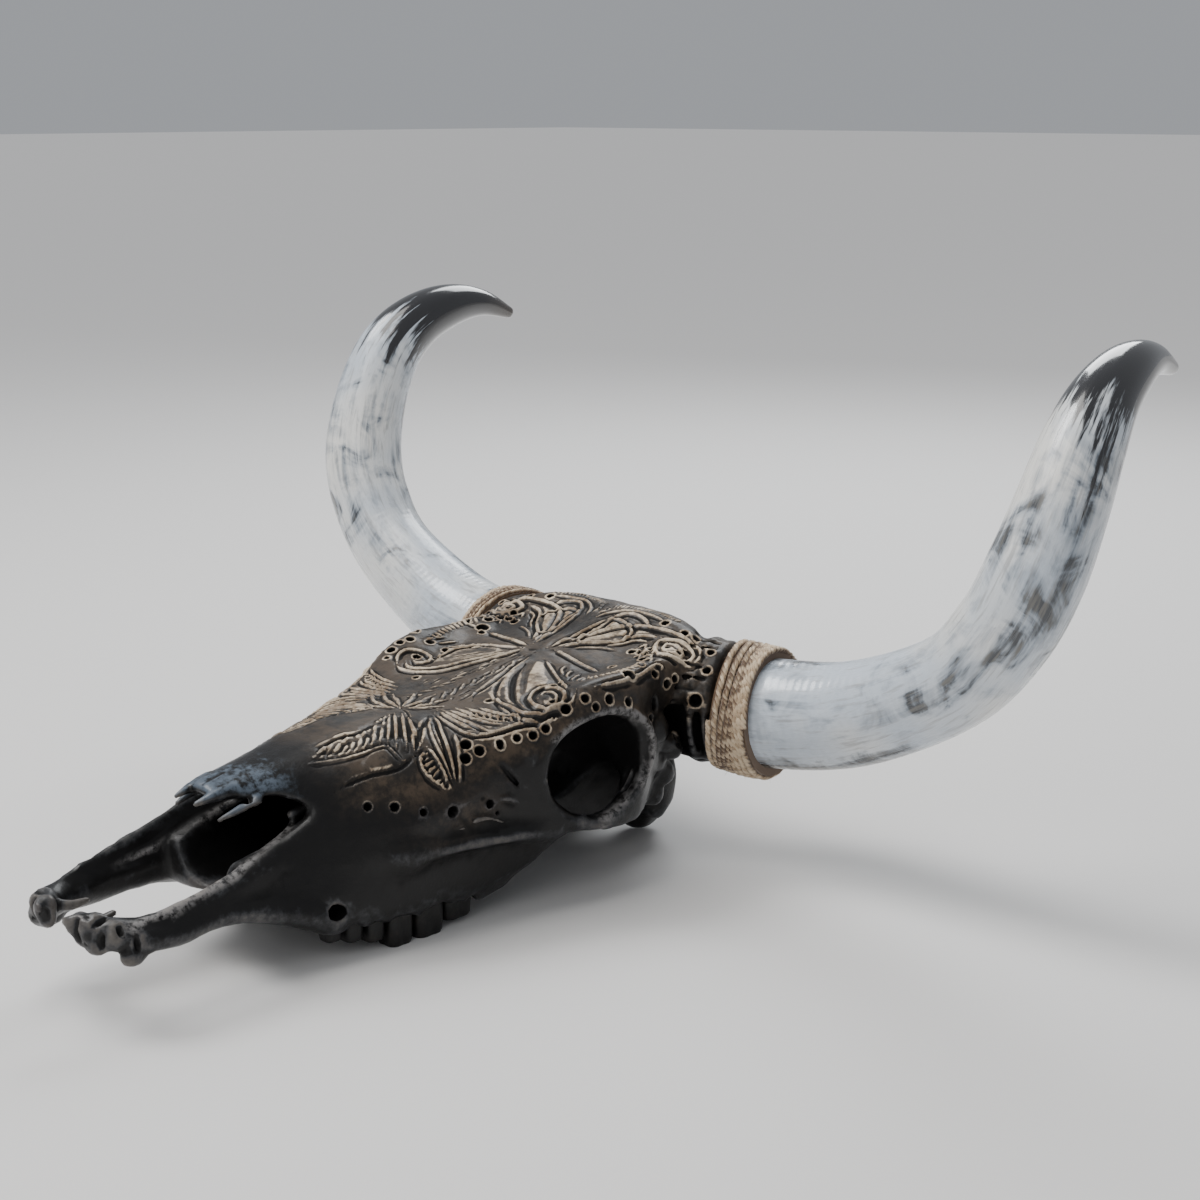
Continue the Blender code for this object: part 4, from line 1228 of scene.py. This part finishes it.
def paintMaps(mesh, clay, art, holes):
    # Says for every point how far it stands out, how pale, bare and hollow it is, and where painted
    # highlights, sheen and shade go; the material reads these
    place = vertexRows(mesh) / mm
    place[:, 1] -= drawnY
    normal = vertexRows(mesh, "normal")
    x, y, z = place.T
    here = clay.read(clay.field, place)
    fine = softened(clay.field, 3)
    # how far each point stands out from its softened surroundings: rubbed wear and painted highlights follow
    # its ridges, darkening its hollows
    convexity = clay.read(fine, place) - here
    up = smoothStep(normal[:, 2], 0.15, 0.45) * smoothStep(z, 70, 85)
    pale = art.read(art.pale, x, y) * up * smoothStep(y, -85, -70)
    pit = np.zeros(len(x))
    for spot, lean, radius in holes:
        chosen = np.nonzero(np.abs(place - spot).max(1) < 3 * radius + 10)[0]
        gap = place[chosen] - spot
        along = gap @ lean
        out = np.sqrt(np.clip((gap ** 2).sum(1) - along ** 2, 0, None))
        level = np.abs(along) < 4
        strength = 0.1 + 0.75 * smoothStep(place[chosen, 2], 105, 130)
        rim = strength * np.exp(-((out - radius - 0.8) / 0.7) ** 2)
        pale[chosen] = np.maximum(pale[chosen], rim * level)
        # painted shade inside each drilled hole
        inside = smoothStep(radius + 0.7 - out, 0, 0.8) * (along < 2.5) * (along > -12)
        pit[chosen] = np.maximum(pit[chosen], inside)
    # painted shade inside the orbit
    socket = 1 - np.sqrt(((y - 112) / 43) ** 2 + ((z - 93) / 36) ** 2)
    within = smoothStep(101 - np.abs(x), 0, 10) * (np.abs(x) > 40)
    pit = np.maximum(pit, smoothStep(socket, 0.0, 0.2) * within)
    # painted highlight along the orbit's rims and the muzzle's ridge, where the surface stands out
    edge = np.zeros(len(x))
    mirrored = np.stack([np.abs(x), y, z], 1)
    for line in brightEdges:
        for a, b in zip(line[:-1], line[1:]):
            run = np.subtract(b, a)
            t = np.clip((mirrored - a) @ run / (run @ run), 0, 1)[:, None]
            gap = np.linalg.norm(mirrored - a - run * t, axis=1)
            edge = np.maximum(edge, smoothStep(5.4 - gap, 0, 1.2))
    edge *= smoothStep(convexity, 0.0, 0.2)
    bare = smoothStep(normal[:, 2], 0.0, 0.5) * smoothStep(y, -80, -30) * smoothStep(z, 85, 100)
    patch = np.exp(-((y - 12) / 30) ** 2 - ((z - 76) / 17) ** 2) * smoothStep(np.abs(normal[:, 0]), 0.3, 0.6)
    patch = patch * smoothStep(y * 0.47 + 66 - z, 14, -4)
    rear = smoothStep(y, 165, 190) * smoothStep(z, 95, 125) * 0.6
    # painted sheen on the upward faces at the front of the nose
    paintedSheen = smoothStep(y, -75, -95) * smoothStep(normal[:, 2], 0.2, 0.6) * smoothStep(z, 98, 106)
    keep(mesh, "sky", skyShare(mesh, sculpt["sky rays"], sculpt["sky reach"]))
    keep(mesh, "convexity", convexity)
    keep(mesh, "edge", edge)
    keep(mesh, "pale", pale)
    keep(mesh, "pit", pit)
    keep(mesh, "bare", np.maximum(bare, rear))
    keep(mesh, "patch", patch)
    keep(mesh, "paintedSheen", paintedSheen)


def boneFinish():
    f = Finish("blackened bone", {"IOR": 1.5, "Coat Roughness": 0.16, "Specular IOR Level": 0.22})
    convexity, edge, pale, pit = f.read("convexity"), f.read("edge"), f.read("pale"), f.read("pit")
    bare, patch, paintedSheen, sky = f.read("bare"), f.read("patch"), f.read("paintedSheen"), f.read("sky")
    cloud = f.noise(24.0, 4.0, 0.6)
    speck = f.noise(220.0, 4.0, 0.65)
    grain = f.noise(700.0, 3.0, 0.6)
    paint = f.mix(cloud, *sculpt["paint"])
    brown = f.mix(f.step(cloud + (speck - 0.5) * 0.5, 0.36, 0.66), *sculpt["brown"])
    colour = f.mix(bare * (0.7 + cloud * 0.6), paint, brown)
    colour = f.mix(patch * f.step(cloud * 0.6 + speck * 0.4, 0.38, 0.58) * 0.8, colour, sculpt["stain"])
    glint = f.step(convexity * 2.0 + (speck - 0.5) * 1.1 + (cloud - 0.5) * 0.8, 0.25, 0.95)
    colour = f.mix(glint * 0.5 * (1 - bare * 0.6), colour, sculpt["glint"])
    # painted highlight on the rims
    colour = f.mix(edge * f.step(speck, 0.35, 0.6) * 0.75, colour, sculpt["edge highlight"])
    # painted bluish sheen on the top of the nose
    colour = f.mix(paintedSheen * f.step(cloud + (speck - 0.5) * 0.9 + convexity * 0.7, 0.44, 0.74), colour,
                   sculpt["painted sheen"])
    broad = f.noise(11.0, 2.0, 0.5)
    rubbed = f.step(pale * 0.75 + convexity * 1.9 + (speck - 0.5) * 0.7 + (cloud - 0.5) * 0.6, 0.46, 1.2)
    cream = f.mix(f.step(speck * 0.5 + cloud * 0.5, 0.4, 0.62), *sculpt["cream"])
    colour = f.mix(rubbed * (0.10 + bare * 0.6 + f.step(broad, 0.35, 0.6) * bare * 0.3), colour, cream)
    # darker in creases and grooves
    low = f.step(0.0 - convexity * 1.7 - pale * 0.5 + (speck - 0.5) * 0.2, 0.05, 0.5)
    # painted shade in the holes, the orbit and where little sky is open, joined with the darker creases
    dark = f.most(f.most(low * 0.92, pit), (1 - f.step(sky, 0.22, 0.78)) * 0.96)
    colour = f.mix(dark, colour, sculpt["hollow"])
    f.feed(colour=colour,
           roughness=0.27 + cloud * 0.12 + speck * 0.12 + bare * 0.10 - paintedSheen * 0.06 + dark * 0.35,
           coat=0.15 - bare * 0.03 - dark * 0.12)
    f.bump(speck * 0.6 + grain * 0.25 + cloud * 0.5, 0.0010, 0.5)
    return f.material


skullMesh = meshFromClay(clay, "carved_skull")
skullMesh = thinned(skullMesh, "carved_skull", sculpt["triangles"])
paintMaps(skullMesh, clay, art, holes)
skullMesh.materials.append(boneFinish())
skull = bpy.data.objects.new("carved_skull", skullMesh)
bpy.context.scene.collection.objects.link(skull)
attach(skull, "root")
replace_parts(skull, "skull")
report(f"the skull's mesh, {len(skullMesh.polygons)} faces")


# Cheek teeth, blackened, each with the folds of a cow's tooth

teeth = {
    # name: (y, length, width, lowest z) in mm
    "row": {"premolar_1": (-75, 12.6, 13, 14), "premolar_2": (-61.2, 13.8, 15, 11),
            "premolar_3": (-46.4, 14.6, 17, 7.5), "molar_1": (-28.2, 20.6, 20, 0),
            "molar_2": (-5.2, 24.2, 21, 0), "molar_3": (19.8, 24.6, 20, 4.5)},
    "row x": (50.5, 57.0, 57.5),     # at the first, middle and last tooth
    "top": 30.0,
    "fold depth": 0.075,
    "squareness": 3.2,               # 2 is an oval, more is squarer
    "sides": 56,
    "levels": (0, 0.02, 0.06, 0.12, 0.25, 0.4, 0.55, 0.7, 0.85, 0.95, 1),
    "basin": ((0.82, 0.5), (0.6, 0.1), (0.35, 0.9)),   # rings of the chewing face: share, height in mm
    "enamel": ((0.0045, 0.0042, 0.004), (0.016, 0.013, 0.011)),
    "specks": (0.06, 0.05, 0.04),
}


def toothFinish():
    f = Finish("blackened enamel", {"IOR": 1.5, "Coat Roughness": 0.2, "Specular IOR Level": 0.3})
    cloud, speck = f.noise(90.0, 4.0, 0.6), f.noise(600.0, 3.0, 0.6)
    stain = f.mix(f.step(cloud, 0.45, 0.72), *teeth["enamel"])
    f.feed(colour=f.mix(f.step(speck, 0.62, 0.75) * 0.4, stain, teeth["specks"]),
           roughness=0.3 + cloud * 0.3, coat=0.1 + speck * 0.1)
    f.bump(cloud * 0.6 + speck * 0.4, 0.0006, 0.7)
    return f.material


def makeTooth(name, side, material):
    y, length, width, low = teeth["row"][name.rsplit("_", 1)[0]]
    front, rear = teeth["row"]["premolar_1"][0], teeth["row"]["molar_3"][0]
    first, middle, last = teeth["row x"]
    t = (y - front) / (rear - front)
    x = first * (1 - t) * (1 - 2 * t) + middle * 4 * t * (1 - t) + last * t * (2 * t - 1)
    sides, power = teeth["sides"], teeth["squareness"]
    around = np.linspace(0, math.tau, sides, endpoint=False)
    shape = (np.abs(np.cos(around)) ** power + np.abs(np.sin(around)) ** power) ** (-1 / power)
    lobes = 2 if name.startswith("molar") else 1
    folds = 1 - teeth["fold depth"] * (0.5 + 0.5 * np.cos(around * 2 * lobes + math.pi * lobes)) ** 3
    rows = []
    for level in teeth["levels"]:
        z = low + (teeth["top"] - low) * level
        wide = 0.93 + 0.07 * math.sin(math.pi * min(1, level * 1.2)) - 0.05 * (level < 0.03)
        reach = shape * folds * wide
        rows.append(np.stack([side * (x + reach * np.cos(around) * width / 2),
                              y + reach * np.sin(around) * length / 2, np.full(sides, z)], 1))
    # the chewing face: a shallow basin with a raised crescent
    centre = np.array([side * x, y, 0])
    for share, height in teeth["basin"]:
        ring = rows[0] * share + centre * (1 - share)
        ring[:, 2] = low + height
        rows.insert(0, ring)
    points = np.concatenate([[[side * x, y, low + 0.4]], *rows, [[side * x, y, teeth["top"]]]])
    faces = []
    for k in range(len(rows) - 1):
        one = 1 + sides * k      # the first point of this ring, after the pole
        two = one + sides
        for a in range(sides):
            b = (a + 1) % sides
            faces.append((one + a, one + b, two + b, two + a))
    end = 1 + sides * (len(rows) - 1)
    for a in range(sides):
        b = (a + 1) % sides
        faces.append((0, 1 + b, 1 + a))
        faces.append((len(points) - 1, end + a, end + b))
    if side < 0:
        faces = [face[::-1] for face in faces]
    mesh = meshOf(name, toPart(points), np.concatenate(faces), np.array([len(face) for face in faces]))
    mesh.materials.append(material)
    made = bpy.data.objects.new(name, mesh)
    bpy.context.scene.collection.objects.link(made)
    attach(made, "root")
    return made


toothMaterial = toothFinish()
for side, tag in sideNames:
    for tooth in teeth["row"]:
        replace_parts(makeTooth(f"{tooth}_{tag}", side, toothMaterial), f"{tooth}_{tag}")
report("teeth")
